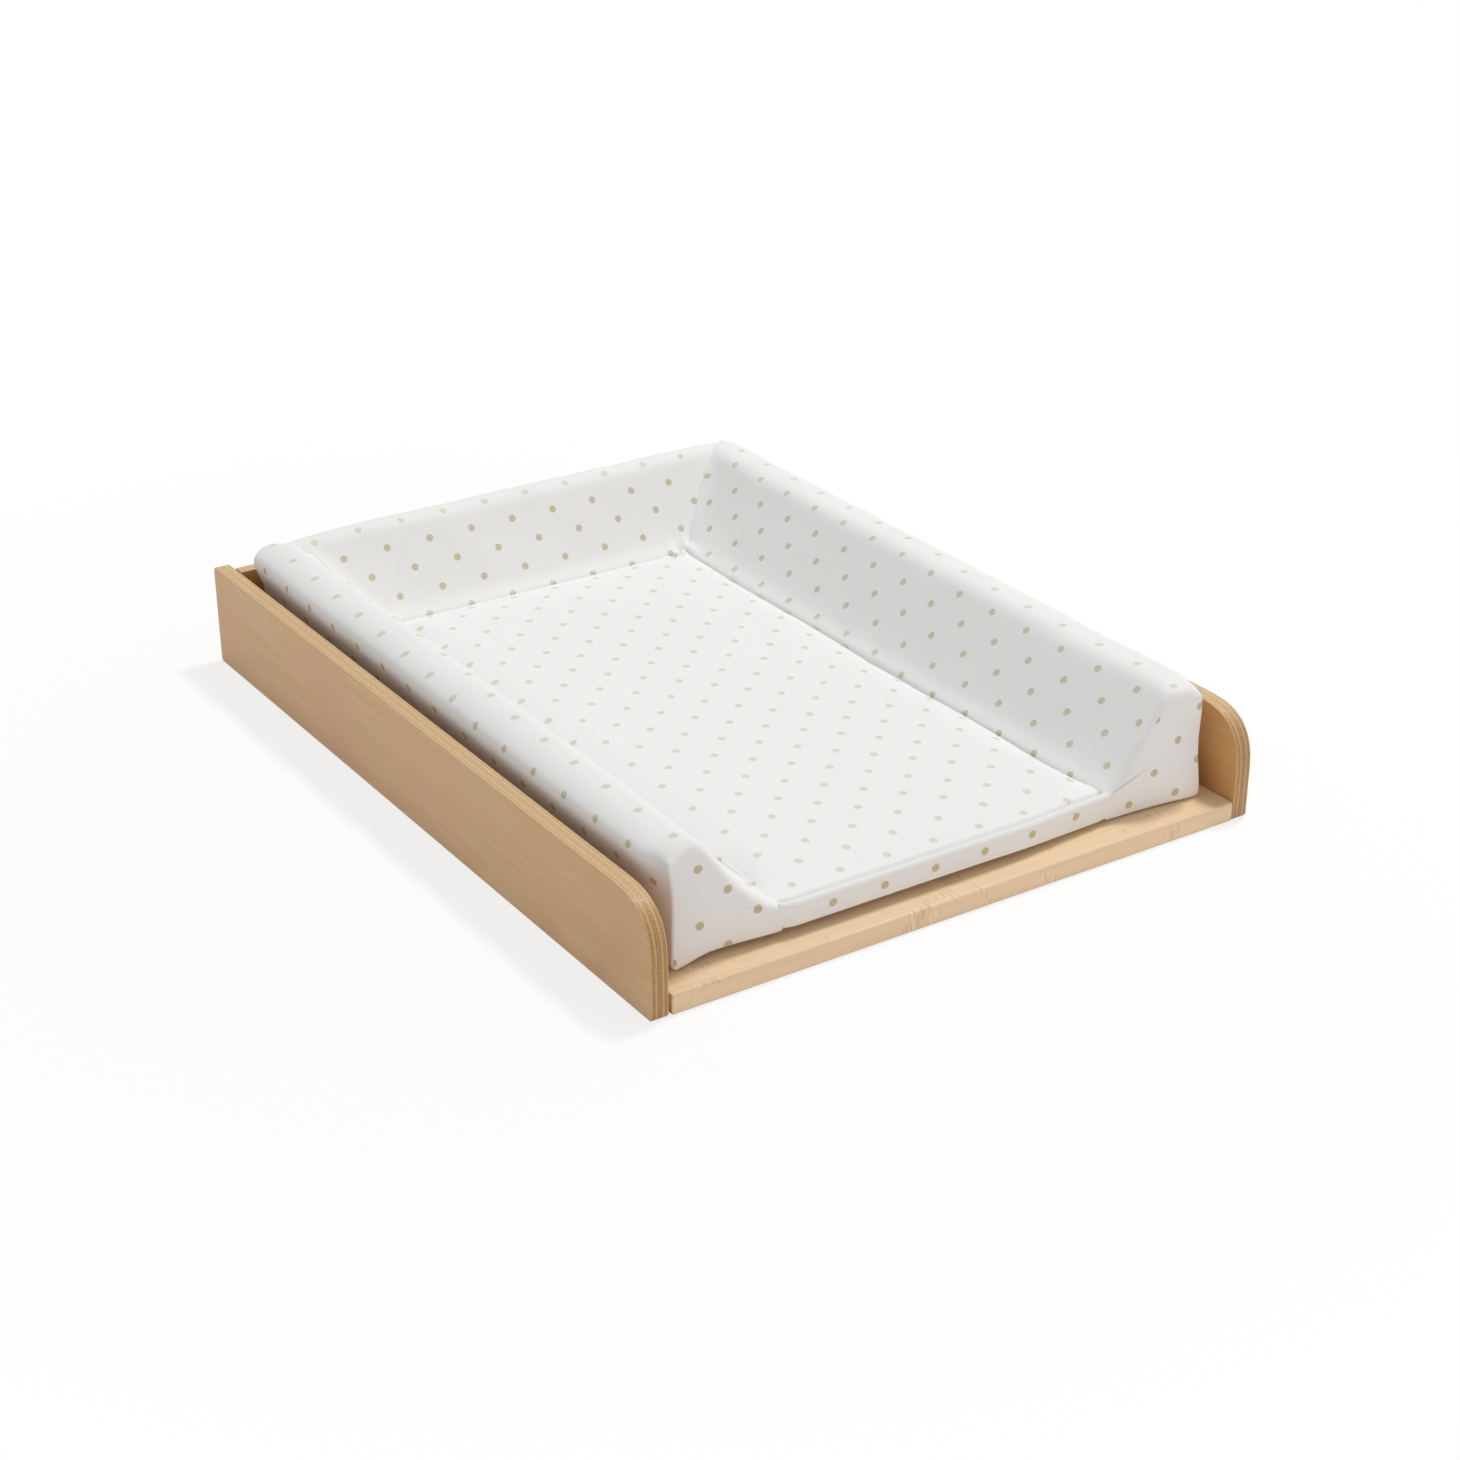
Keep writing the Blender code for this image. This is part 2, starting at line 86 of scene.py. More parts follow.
class Graph:
    # The emptied node tree of a material or world, with short names for adding nodes and their links
    def __init__(self, owner):
        owner.use_nodes = True
        self.tree = owner.node_tree
        self.tree.nodes.clear()

    def add(self, kind, inputs=None, **values):
        node = self.tree.nodes.new("ShaderNode" + kind)
        for key, value in values.items():
            setattr(node, key, value)
        for key, value in (inputs or {}).items():
            socket = node.inputs[key]
            if isinstance(value, bpy.types.NodeSocket):
                self.tree.links.new(value, socket)
            else:
                socket.default_value = value
        return node

    def math(self, operation, a, b=0.0):
        return self.add("Math", {0: a, 1: b}, operation=operation).outputs[0]

    def vector(self, operation, a, b=(0.0, 0.0, 0.0)):
        node = self.add("VectorMath", {0: a, 1: b}, operation=operation)
        return node.outputs[1] if operation in ("LENGTH", "DISTANCE", "DOT_PRODUCT") else node.outputs[0]

    def smooth(self, value, low, high, outLow=0.0, outHigh=1.0):
        node = self.add("MapRange", {0: value, 1: low, 2: high, 3: outLow, 4: outHigh},
                        interpolation_type="SMOOTHSTEP")
        return node.outputs[0]

    def mix(self, share, a, b, blend="MIX"):
        node = self.add("Mix", {0: share, 6: a, 7: b}, data_type="RGBA", blend_type=blend)
        return node.outputs[2]

    def noise(self, vector, scale, detail=2.0, rough=0.5):
        node = self.add("TexNoise", {"Vector": vector, "Scale": scale, "Detail": detail, "Roughness": rough})
        return node.outputs[0]

    def place(self):
        return self.add("TexCoord").outputs["Object"]

    def output(self, shader, kind="OutputMaterial"):
        self.add(kind, {"Surface": shader.outputs[0]})


def newMaterial(name):
    material = bpy.data.materials.new(name)
    return material, Graph(material)


def paint(red, green, blue):
    # Colour as seen on a screen, 0 to 255, turned into the linear colour that a shader takes
    shares = np.array([red, green, blue]) / 255.0
    linear = np.where(shares <= 0.04045, shares / 12.92, ((shares + 0.055) / 1.055) ** 2.4)
    return (*linear.tolist(), 1.0)


world = bpy.data.worlds.new("studio")
bpy.context.scene.world = world
g = Graph(world)
rays = g.add("LightPath")
seen = g.math("MAXIMUM", rays.outputs["Is Camera Ray"], rays.outputs["Is Glossy Ray"])
seen = g.math("MAXIMUM", seen, rays.outputs["Is Transmission Ray"])
strength = g.smooth(seen, 0.0, 1.0, light["sky"], 1.0)
background = g.add("Background", {"Color": (1.0, 1.0, 1.0, 1.0), "Strength": strength})
g.output(background, "OutputWorld")

floorMesh = bpy.data.meshes.new("floor")
reach = light["floorReach"]
floorMesh.from_pydata([(-reach, -reach, 0), (reach, -reach, 0), (reach, reach, 0), (-reach, reach, 0)], [],
                      [(0, 1, 2, 3)])
floor = bpy.data.objects.new("floor", floorMesh)
bpy.context.scene.collection.objects.link(floor)
floorPaint, g = newMaterial("pale floor")
rays = g.add("LightPath")
seen = g.math("MAXIMUM", rays.outputs["Is Camera Ray"], rays.outputs["Is Glossy Ray"])
matte = g.add("BsdfDiffuse", {"Color": (light["floorShade"],) * 3 + (1.0,)})
bright = g.add("BsdfDiffuse", {"Color": (1.0, 1.0, 1.0, 1.0)})
glow = g.add("Emission", {"Color": (1.0, 1.0, 1.0, 1.0), "Strength": 1.0})
distance = g.vector("LENGTH", g.place())
share = g.smooth(distance, *light["glowReach"], light["floorGlow"], 1.0)
shown = g.add("MixShader", {0: share, 1: bright.outputs[0], 2: glow.outputs[0]})
g.output(g.add("MixShader", {0: seen, 1: matte.outputs[0], 2: shown.outputs[0]}))
floorMesh.materials.append(floorPaint)
print("camera, light and floor made")


# ---- shared mesh tools

def newPiece(name, mesh, body, material):
    piece = bpy.data.objects.new(name, mesh)
    bpy.context.scene.collection.objects.link(piece)
    mesh.materials.append(material)
    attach(piece, body)
    return piece


def cleanMesh(mesh):
    # Merges doubled points, as at poles, and turns every face outwards
    shape = bmesh.new()
    shape.from_mesh(mesh)
    bmesh.ops.remove_doubles(shape, verts=shape.verts, dist=0.000002)
    bmesh.ops.recalc_face_normals(shape, faces=shape.faces)
    shape.to_mesh(mesh)
    shape.free()
    mesh.shade_smooth()


def roundedOutline(corners, radii, count, focus=None):
    # Closed outline: every corner becomes a quadratic curve (1-t)^2 A + 2t(1-t) P + t^2 B between points A and B
    # on its two edges, then the whole is sampled at even steps of length times the focus
    corners = np.array(corners, float)
    t = np.linspace(0.0, 1.0, 9)[:, None]
    points = []
    for k, radius in enumerate(radii):
        here, before, after = corners[k], corners[k - 1], corners[(k + 1) % len(corners)]
        toBefore, toAfter = before - here, after - here
        a = here + toBefore * min(radius / np.linalg.norm(toBefore), 0.5)
        b = here + toAfter * min(radius / np.linalg.norm(toAfter), 0.5)
        points.append((1 - t) ** 2 * a + 2 * t * (1 - t) * here + t ** 2 * b if radius else here[None])
    line = np.concatenate(points + [points[0][:1]])
    fine = np.linspace(0, len(line) - 1, 40 * len(line))
    line = np.stack([np.interp(fine, np.arange(len(line)), line[:, k]) for k in (0, 1)], -1)
    step = np.linalg.norm(np.diff(line, axis=0), axis=1)
    weight = step if focus is None else step * focus((line[1:] + line[:-1]) / 2)
    effort = np.concatenate([[0.0], np.cumsum(weight)])
    spots = np.linspace(0.0, effort[-1], count + 1)[:-1]
    return np.stack([np.interp(spots, effort, line[:, k]) for k in (0, 1)], -1)


def outlineNormals(outline):
    # Outward normal of each point of a closed outline, at a right angle to the line between its neighbours
    along = np.roll(outline, -1, 0) - np.roll(outline, 1, 0)
    normals = np.stack([along[:, 1], -along[:, 0]], -1)
    area = np.sum(outline[:, 0] * np.roll(outline[:, 1], -1) - np.roll(outline[:, 0], -1) * outline[:, 1])
    return normals / np.linalg.norm(normals, axis=1)[:, None] * np.sign(area)


def arcLength(outline):
    # Length along a closed outline at each point, with the full length at the end
    step = np.linalg.norm(np.roll(outline, -1, 0) - outline, axis=1)
    return np.concatenate([[0.0], np.cumsum(step)])


def ripple(points, size, seed, count=7):
    # Gentle unevenness from -1 to 1: the mean of plane sine waves in seeded directions, with wavelengths near the size
    random = np.random.default_rng(seed)
    directions = random.normal(size=(count, 3))
    directions /= np.linalg.norm(directions, axis=1)[:, None]
    lengths = size * random.uniform(0.7, 1.6, count)
    phases = random.uniform(0, 2 * np.pi, count)
    waves = np.sin(2 * np.pi * (points @ directions.T) / lengths + phases)
    return waves.mean(-1) * 1.6


def smoothStep(value, low, high):
    t = np.clip((value - low) / (high - low), 0.0, 1.0)
    return t * t * (3 - 2 * t)


def gridFaces(rowCount, colCount):
    # Faces of a grid of rings that close on themselves: each joins (r, c), (r, c+1), (r+1, c+1) and (r+1, c)
    r, c = np.meshgrid(np.arange(rowCount - 1), np.arange(colCount), indexing="ij")
    n = (c + 1) % colCount
    faces = np.stack([r * colCount + c, r * colCount + n, (r + 1) * colCount + n, (r + 1) * colCount + c], -1)
    return r, c, faces


def tubeMesh(name, rings, cloth, otherCloth, otherRows, otherColumns=False):
    # rings[r, c] are points, c round the piece and r from one end to the other, where the end rings are single
    # points. Faces in the other rows and columns take the other cloth's coordinates, so that the print breaks at
    # the seam.
    rowCount, colCount = rings.shape[:2]
    r, c, faces = gridFaces(rowCount, colCount)
    loopRow = np.stack([r, r, r + 1, r + 1], -1)
    loopCol = np.stack([c, c + 1, c + 1, c], -1)
    columns = np.broadcast_to(otherColumns, colCount)[c]
    isOther = (np.asarray(otherRows, bool)[r] | columns)[..., None, None]
    coordinates = np.where(isOther, otherCloth[loopRow, loopCol], cloth[loopRow, loopCol])
    mesh = bpy.data.meshes.new(name)
    mesh.from_pydata(rings.reshape(-1, 3).tolist(), [], faces.reshape(-1, 4).tolist())
    layer = mesh.uv_layers.new(name="cloth")
    layer.data.foreach_set("uv", coordinates.reshape(-1).astype(np.float32))
    cleanMesh(mesh)
    return mesh


def readVertices(mesh, field):
    values = np.zeros(len(mesh.vertices) * 3, np.float32)
    mesh.vertices.foreach_get(field, values)
    return values.reshape(-1, 3).astype(float)


def getPoints(mesh):
    return readVertices(mesh, "co")


def setPoints(mesh, points):
    mesh.vertices.foreach_set("co", points.astype(np.float32).reshape(-1))
    mesh.update()


simulation = {"quality": 5, "mass": 0.25, "frames": 20, "heldLevels": (0.25, 0.5, 0.75, 1.0), "levelReach": 0.125}


def plump(piece, held, settings):
    # Cloth simulation of the cover: air pressure swells it between the seams that hold it. The move of each point
    # is then capped, evened out with its neighbours' and faded out at the seams.
    mesh = piece.data
    start = getPoints(mesh)
    ends = np.zeros(len(mesh.edges) * 2, int)
    mesh.edges.foreach_get("vertices", ends)
    group = piece.vertex_groups.new(name="seams")
    for level in simulation["heldLevels"]:
        chosen = np.nonzero(np.abs(held - level) < simulation["levelReach"])[0]
        group.add(chosen.tolist(), level, "REPLACE")
    cover = piece.modifiers.new("cover", "CLOTH")
    cover.settings.quality = simulation["quality"]
    cover.settings.mass = simulation["mass"]
    cover.settings.tension_stiffness = settings["stiffness"]
    cover.settings.compression_stiffness = settings["stiffness"]
    cover.settings.shear_stiffness = settings["stiffness"] / 2
    cover.settings.bending_stiffness = settings["bending"]
    cover.settings.use_pressure = True
    cover.settings.uniform_pressure_force = settings["pressure"]
    cover.settings.shrink_min = -settings["slack"]
    cover.settings.vertex_group_mass = "seams"
    cover.settings.effector_weights.gravity = 0.0
    cover.collision_settings.use_collision = False
    for frameNumber in range(1, simulation["frames"] + 1):
        bpy.context.scene.frame_set(frameNumber)
    shaped = piece.evaluated_get(bpy.context.evaluated_depsgraph_get())
    move = getPoints(shaped.data) - start
    far = np.linalg.norm(move, axis=1)
    move *= (settings["cap"] * np.tanh(far / settings["cap"]) / np.maximum(far, 1e-9))[:, None]
    # Each turn of evening out takes the mean of a point's move and its neighbours' mean move
    first, second = ends.reshape(-1, 2).T
    count = np.maximum(np.bincount(ends, minlength=len(move)), 1)[:, None]
    for turn in range(settings["evenTurns"]):
        total = np.zeros_like(move)
        np.add.at(total, first, move[second])
        np.add.at(total, second, move[first])
        move = (move + total / count) / 2
    move *= 1 - held[:, None]
    piece.modifiers.remove(cover)
    piece.vertex_groups.clear()
    bpy.context.scene.frame_set(1)
    setPoints(mesh, start + move)


def crumple(piece, held, settings):
    # The cloth's gentle unevenness, moved along the normals and fading out at the seams
    points = getPoints(piece.data)
    wave = ripple(points, settings["crumpleSize"], settings["seed"]) * settings["crumple"] * (1 - held)
    setPoints(piece.data, points + readVertices(piece.data, "normal") * wave[:, None])


def addSubdivision(piece, levels):
    finer = piece.modifiers.new("finer", "SUBSURF")
    finer.levels = levels
    finer.render_levels = levels


# ---- cloth of the mat

cotton = {"white": paint(243, 243, 241), "gold": paint(196, 184, 150), "goldLight": paint(206, 195, 164),
          "goldPaintedSheen": paint(219, 216, 200), "soiled": paint(238, 239, 238), "cell": (0.0434, 0.0456),
          "dotRadius": 0.0034, "dotEdge": 0.0004, "dotWobble": 0.0005, "threadPitch": 0.0006, "creaseDepth": 0.0012}


def weaveHeight(g, place, pitch):
    # Plain weave: the product of two sines, one thread up and the next one down
    threads = g.vector("MULTIPLY", place, (2 * math.pi / pitch,) * 2 + (0.0,))
    split = g.add("SeparateXYZ", {0: g.vector("SINE", threads)})
    return g.math("MULTIPLY", split.outputs[0], split.outputs[1])


def dottedCotton(name):
    # White cotton printed with staggered dots: a dot at every whole and every half step of the cell, measured in
    # cloth coordinates, over a fine plain weave and soft creases. The dots are painted paler on faces that point up,
    # a painted reflection of the bright light from above
    material, g = newMaterial(name)
    cloth = g.add("UVMap", uv_map="cloth").outputs[0]
    place = g.place()
    cell = (*cotton["cell"], 1.0)
    steps = g.vector("DIVIDE", cloth, cell)
    distances = []
    for shift in (0.5, 0.0):
        moved = g.vector("ADD", steps, (shift, shift, 0.0))
        offset = g.vector("SUBTRACT", g.vector("FRACTION", moved), (0.5, 0.5, 0.0))
        scaled = g.vector("MULTIPLY", offset, (cell[0], cell[1], 0.0))
        distances.append(g.vector("LENGTH", scaled))
    nearest = g.math("MINIMUM", *distances)
    wobble = g.noise(cloth, 900.0, 1.0)
    nearest = g.math("ADD", nearest, g.math("MULTIPLY", wobble, cotton["dotWobble"]))
    radius = cotton["dotRadius"]
    dot = g.smooth(nearest, radius + cotton["dotEdge"], radius)
    gold = g.mix(g.noise(cloth, 2500.0, 1.0), cotton["gold"], cotton["goldLight"])
    # Painted reflection: the gold is painted paler the more its face points up, standing in for the light from above
    upward = g.add("SeparateXYZ", {0: g.add("NewGeometry").outputs["Normal"]}).outputs[2]
    gold = g.mix(g.smooth(upward, 0.2, 1.0), gold, cotton["goldPaintedSheen"])
    ground = g.mix(g.noise(place, 9.0, 2.0), cotton["white"], cotton["soiled"])
    colour = g.mix(dot, ground, gold)
    weave = weaveHeight(g, cloth, cotton["threadPitch"])
    weaveBump = g.add("Bump", {"Strength": 0.25, "Distance": 0.00006, "Height": weave})
    soft = g.noise(place, 14.0, 3.0, 0.45)
    creases = g.add("Bump", {"Strength": 0.5, "Distance": cotton["creaseDepth"], "Height": soft,
                             "Normal": weaveBump.outputs[0]})
    rough = g.smooth(dot, 0.0, 1.0, 0.78, 0.5)
    shader = g.add("BsdfPrincipled", {"Base Color": colour, "Roughness": rough, "Normal": creases.outputs[0],
                                      "Sheen Weight": 0.15, "Sheen Roughness": 0.5, "Specular IOR Level": 0.3})
    g.output(shader)
    return material


cottonCloth = dottedCotton("dotted cotton")

# driftAlong is the stretch of Y over which the print's drift at the front fades out
mat = {"left": -0.2495, "right": 0.2525, "front": -0.3445, "back": 0.3455, "bottom": 0.0186,
       "sideFoot": 0.094, "backFoot": 0.072, "seamHeight": 0.0235, "corners": (0.009, 0.026), "overlap": 0.0008,
       "pull": 0.0070, "pullFrom": (-0.235, -0.145), "pullTo": (0.050, 0.160), "bell": (0.222, -0.0022),
       "pullWidth": 0.045, "pullReach": 0.11, "frontLift": 0.0036, "liftFrom": (0.030, 0.150), "liftReach": 0.045,
       "cornerSag": -0.0012, "sagReach": 0.035, "cornerPush": (0.0020, -0.0045), "pushReach": 0.035,
       "tuck": (0.1510, 0.2740, 0.043), "tuckAt": 0.1445, "tuckReach": 0.014, "tuckDepth": 0.0046, "tuckWave": 370.0,
       "tuckPull": (-0.0035, -0.0062), "driftAlong": (-0.095, 0.005)}
mitre = mat["backFoot"] / mat["sideFoot"]


def settle(points, side=1):
    # The front edge bows forwards between the two side bolsters, fading out towards the back. The lower front edge
    # lies down and out at the mat's corners and is lifted from there to the middle. Short folds open at the tuck in
    # the back right corner: side cos(k (x - x0)) under a bell curve round the corner, with side 1 for bolsters and
    # -1 for the pad, whose edge also draws back from the open folds.
    points = points.copy()
    fade = 1 - smoothStep(points[..., 1], mat["front"], mat["front"] + mat["pullReach"])
    bow = smoothStep(points[..., 0], *mat["pullFrom"]) * (1 - smoothStep(points[..., 0], *mat["pullTo"]))
    bell = np.exp(-((points[..., 0] - mat["bell"][0]) / mat["pullWidth"]) ** 2)
    points[..., 1] += (mat["bell"][1] * bell - mat["pull"] * bow) * fade
    lowFront = 1 - smoothStep(np.hypot(points[..., 1] - mat["front"], points[..., 2] - mat["bottom"]), 0.0,
                              mat["liftReach"])
    toSide = np.minimum(points[..., 0] - mat["left"], mat["right"] - points[..., 0])
    rise = smoothStep(toSide, 0.0, mat["sagReach"])
    lift = mat["frontLift"] * (1 - smoothStep(points[..., 0], *mat["liftFrom"]))
    points[..., 2] += (mat["cornerSag"] * (1 - rise) + lift * rise) * lowFront
    for way, place in ((-1, mat["left"]), (1, mat["right"])):
        away = np.linalg.norm(points - np.array([place, mat["front"], mat["bottom"]]), axis=-1)
        bell = np.exp(-(away / mat["pushReach"]) ** 2)
        points[..., 0] += way * mat["cornerPush"][0] * bell
        points[..., 1] += mat["cornerPush"][1] * bell
    away = np.linalg.norm(points - np.array(mat["tuck"]), axis=-1)
    fold = np.cos((points[..., 0] - mat["tuckAt"]) * mat["tuckWave"]) * np.exp(-(away / mat["tuckReach"]) ** 2)
    points[..., 2] += side * mat["tuckDepth"] * fold
    if side < 0:
        points[..., :2] += np.maximum(fold, 0.0)[..., None] * np.array(mat["tuckPull"])
    return points


# ---- bolsters

# The holds are the distances over which the simulation is held: from the bottom, the foot seam, the front end and
# the mitre
bolster = {"columns": 100, "rowStep": 0.0075, "rowsNearEnd": (0.0025, 0.005, 0.0075, 0.010, 0.0135, 0.0175, 0.022),
           "rowGap": 0.004, "topFocus": (0.9, 0.022), "footFocus": (1.2, 0.008), "rimRadius": (0.0022, 0.0070),
           "rimAngles": (0.0, 30.0, 60.0, 85.0), "rimTurn": (0.2, 0.8), "rimAtFoot": 0.25,
           "rimFootReach": (0.004, 0.001), "endDome": 0.0015, "endRings": 10, "drawInHeight": 0.07,
           "mitreRings": (0.7, 0.35, 0.0), "endFade": 0.032, "bulgeFade": 0.028, "fillet": 0.0045,
           "filletReach": 0.018, "filletFrom": (0.015, 0.020), "bottomRadius": 0.0035, "footRadius": 0.002,
           "earDrop": 0.011, "earReach": 0.009, "earWay": (-0.5, 0.35), "crestPlace": (0.112, 0.135),
           "bottomHold": (0.008, 0.003), "footHold": (0.018, 0.002), "frontHold": (0.001, 0.080),
           "mitreHold": (0.004, 0.080), "stiffness": 12.0, "bending": 0.6, "pressure": 1.4, "slack": 0.003,
           "cap": 0.0012, "evenTurns": 14, "crumple": 0.0004, "crumpleSize": 0.055, "seed": 5}
leftBolster = {"crest": 0.024, "height": 0.0975, "drop": 0.0020, "outerRadius": 0.013, "crestRadius": 0.008,
               "flare": (0.006, 0.0020), "flareRadius": 0.014, "bulge": (0.0035, 0.0110), "bulgePower": 4.4,
               "rise": (0.0, 0.0030, 0.0020), "endCrest": 0.023, "endDrop": 0.0060, "endIn": 0.0025,
               "endDip": 0.0055, "ear": 0.0030, "dots": (-0.0065, 0.0165), "shear": 0.0, "drift": -0.0090,
               "creep": (0.0095, -0.0010), "creepFrom": 0.0, "overCrest": 0.0040, "endDots": (-0.2267, 0.0932),
               "endScale": (0.893, 1.0)}
rightBolster = {"crest": 0.032, "height": 0.1015, "drop": 0.0, "outerRadius": 0.012, "crestRadius": 0.010,
                "flare": (0.013, 0.0100), "flareRadius": 0.016, "bulge": (0.0055, 0.0060), "bulgePower": 2.4,
                "rise": (-0.0016, 0.0010, 0.0010), "endCrest": 0.034, "endDrop": 0.0035, "endIn": 0.0030,
                "endDip": 0.0, "ear": 0.0, "dots": (0.0079, 0.0212), "shear": 0.13, "drift": 0.0085,
                "creep": (0.0, 0.0040), "creepFrom": -0.2, "overCrest": 0.0, "endDots": (0.2278, 0.0739),
                "endScale": (0.945, 0.985)}
backBolster = {"crest": 0.0225, "height": 0.1020, "drop": 0.0015, "outerRadius": 0.015, "crestRadius": 0.011,
               "flare": (0.012, 0.0095), "flareRadius": 0.014, "bulge": 0.0018, "rise": (0.0, 0.0016, 0.0020),
               "dots": (0.0463, 0.0108), "bulgePower": 2.4, "sink": (0.0055, 0.0022), "sinkReach": 0.060}


def wedgeOutline(foot, settings, crest, drop):
    # Section of a bolster as (inward, up): bulged outer side, round shoulder, a top that rises a little to the
    # crest, a slope that runs out in a slight flare and an upright seam at its foot
    seam, height = mat["seamHeight"], settings["height"]
    low = bolster["bottomRadius"]
    away, up = settings["flare"]
    corners = [(foot * 0.5, 0.0), (0.0, 0.0), (0.0, height - drop), (crest, height), (foot - away, seam + up),
               (foot, seam), (foot, 0.0)]
    radii = [0.0, low, settings["outerRadius"], settings["crestRadius"], settings["flareRadius"],
             bolster["footRadius"], low]
    (topMore, topDepth), (footMore, footReach) = bolster["topFocus"], bolster["footFocus"]
    focus = lambda p: (1.0 + topMore * (p[:, 1] > height - topDepth)
                       + footMore * np.exp(-((p[:, 0] - foot) / footReach) ** 2))
    return roundedOutline(corners, radii, bolster["columns"], focus)


def outerBulge(sections, settings, amount):
    # The outer side swells by b sin(pi (w / h)^p), most of it near the top
    share = np.clip(sections[..., 1] / settings["height"], 0, 1)
    outer = 1 - smoothStep(sections[..., 0], 0.0, settings["crest"])
    sections[..., 0] -= amount * np.sin(np.pi * share ** settings["bulgePower"]) * outer
    return sections


def cornerInset(distance, radius):
    # A quarter circle: how far the mat's round corner draws the outer side in, at a distance from the end
    reach = np.clip(radius - distance, 0.0, radius)
    return radius - np.sqrt(radius ** 2 - reach ** 2)


def roundedInward(inward, distance, crest, radius):
    return inward + cornerInset(distance, radius) * np.clip(1 - inward / crest, 0.0, None)


def mitreEnd(inward, crest, slope, radius):
    # Distance from the end at which each column meets the mitre plane, found by halving, less the small overlap
    # that closes the mitre
    low, high = np.full_like(inward, -0.01), np.full_like(inward, 0.2)
    for turn in range(30):
        middle = (low + high) / 2
        beyond = middle > roundedInward(inward, middle, crest, radius) * slope
        low, high = np.where(beyond, low, middle), np.where(beyond, middle, high)
    return (low + high) / 2 - mat["overlap"]


def rowShares(length, dense):
    # Even shares along a bolster, with extra rows at the given distances from its ends
    even = np.linspace(0, 1, int(length / bolster["rowStep"]))
    near = np.array(dense) / length
    start = near.max() + bolster["rowGap"]
    inner = even[(even > start) & (even < 1 - start)]
    return np.sort(np.concatenate([inner, near, 1 - near, [0.0, 1.0]]))


def throughThree(values, share):
    # The parabola through three values at 0, 1/2 and 1
    first, middle, last = values
    return first * (1 - share) * (1 - 2 * share) + middle * 4 * share * (1 - share) + last * share * (2 * share - 1)


def bolsterBody(outlines, settings, toEnd, meet, shares, radius):
    # outlines[r, c] raised on the slope by f (1 - d / reach)^2 at the distance d from the mitre, so that the two
    # slopes meet in a soft hollow
    near = (1 - np.clip((toEnd - meet) / bolster["filletReach"], 0.0, 1.0)) ** 2
    along = np.roll(outlines, -1, 1) - np.roll(outlines, 1, 1)
    normals = np.stack([along[..., 1], -along[..., 0]], -1)
    normals /= np.linalg.norm(normals, axis=-1)[..., None]
    area = outlines[0, :, 0] * np.roll(outlines[0, :, 1], -1) - np.roll(outlines[0, :, 0], -1) * outlines[0, :, 1]
    normals *= np.sign(area.sum())
    fromCrest, fromSeam = bolster["filletFrom"]
    onSlope = smoothStep(outlines[..., 0], settings["crest"], settings["crest"] + fromCrest)
    onSlope = onSlope * smoothStep(outlines[..., 1], mat["seamHeight"], mat["seamHeight"] + fromSeam)
    ring = outlines + normals * (bolster["fillet"] * near * onSlope)[..., None]
    inward = roundedInward(ring[..., 0], toEnd, settings["crest"], radius)
    lift = throughThree(settings["rise"], shares)[:, None] * (ring[..., 1] / settings["height"]) ** 2
    return inward, ring[..., 1] + lift


def fan(ring, shares):
    # Rings from a rim to its middle: middle + share (rim - middle)
    middle = ring.mean(0)
    return middle + (ring - middle) * np.array(shares)[:, None, None]


def slopeLength(outline, foot):
    # Length up from the foot seam at each point of the section
    length = arcLength(outline)
    closed = np.concatenate([outline, outline[:1]])
    seam = np.argmin(np.hypot(closed[:, 0] - foot, closed[:, 1] - mat["seamHeight"]))
    return length[seam] - length


def closedGrid(values):
    return np.concatenate([values, values[:, :1]], 1)


def swell(piece, inward, foot, ends):
    # Plumps and crumples a bolster, held at its bottom, at its foot seam and at its ends
    up = getPoints(piece.data)[:, 2] - mat["bottom"]
    footFrom, footTo = bolster["footHold"]
    held = [smoothStep(up, *bolster["bottomHold"]), smoothStep(inward, foot - footFrom, foot - footTo)]
    held = np.max(held + ends, 0)
    plump(piece, held, bolster)
    crumple(piece, held, bolster)


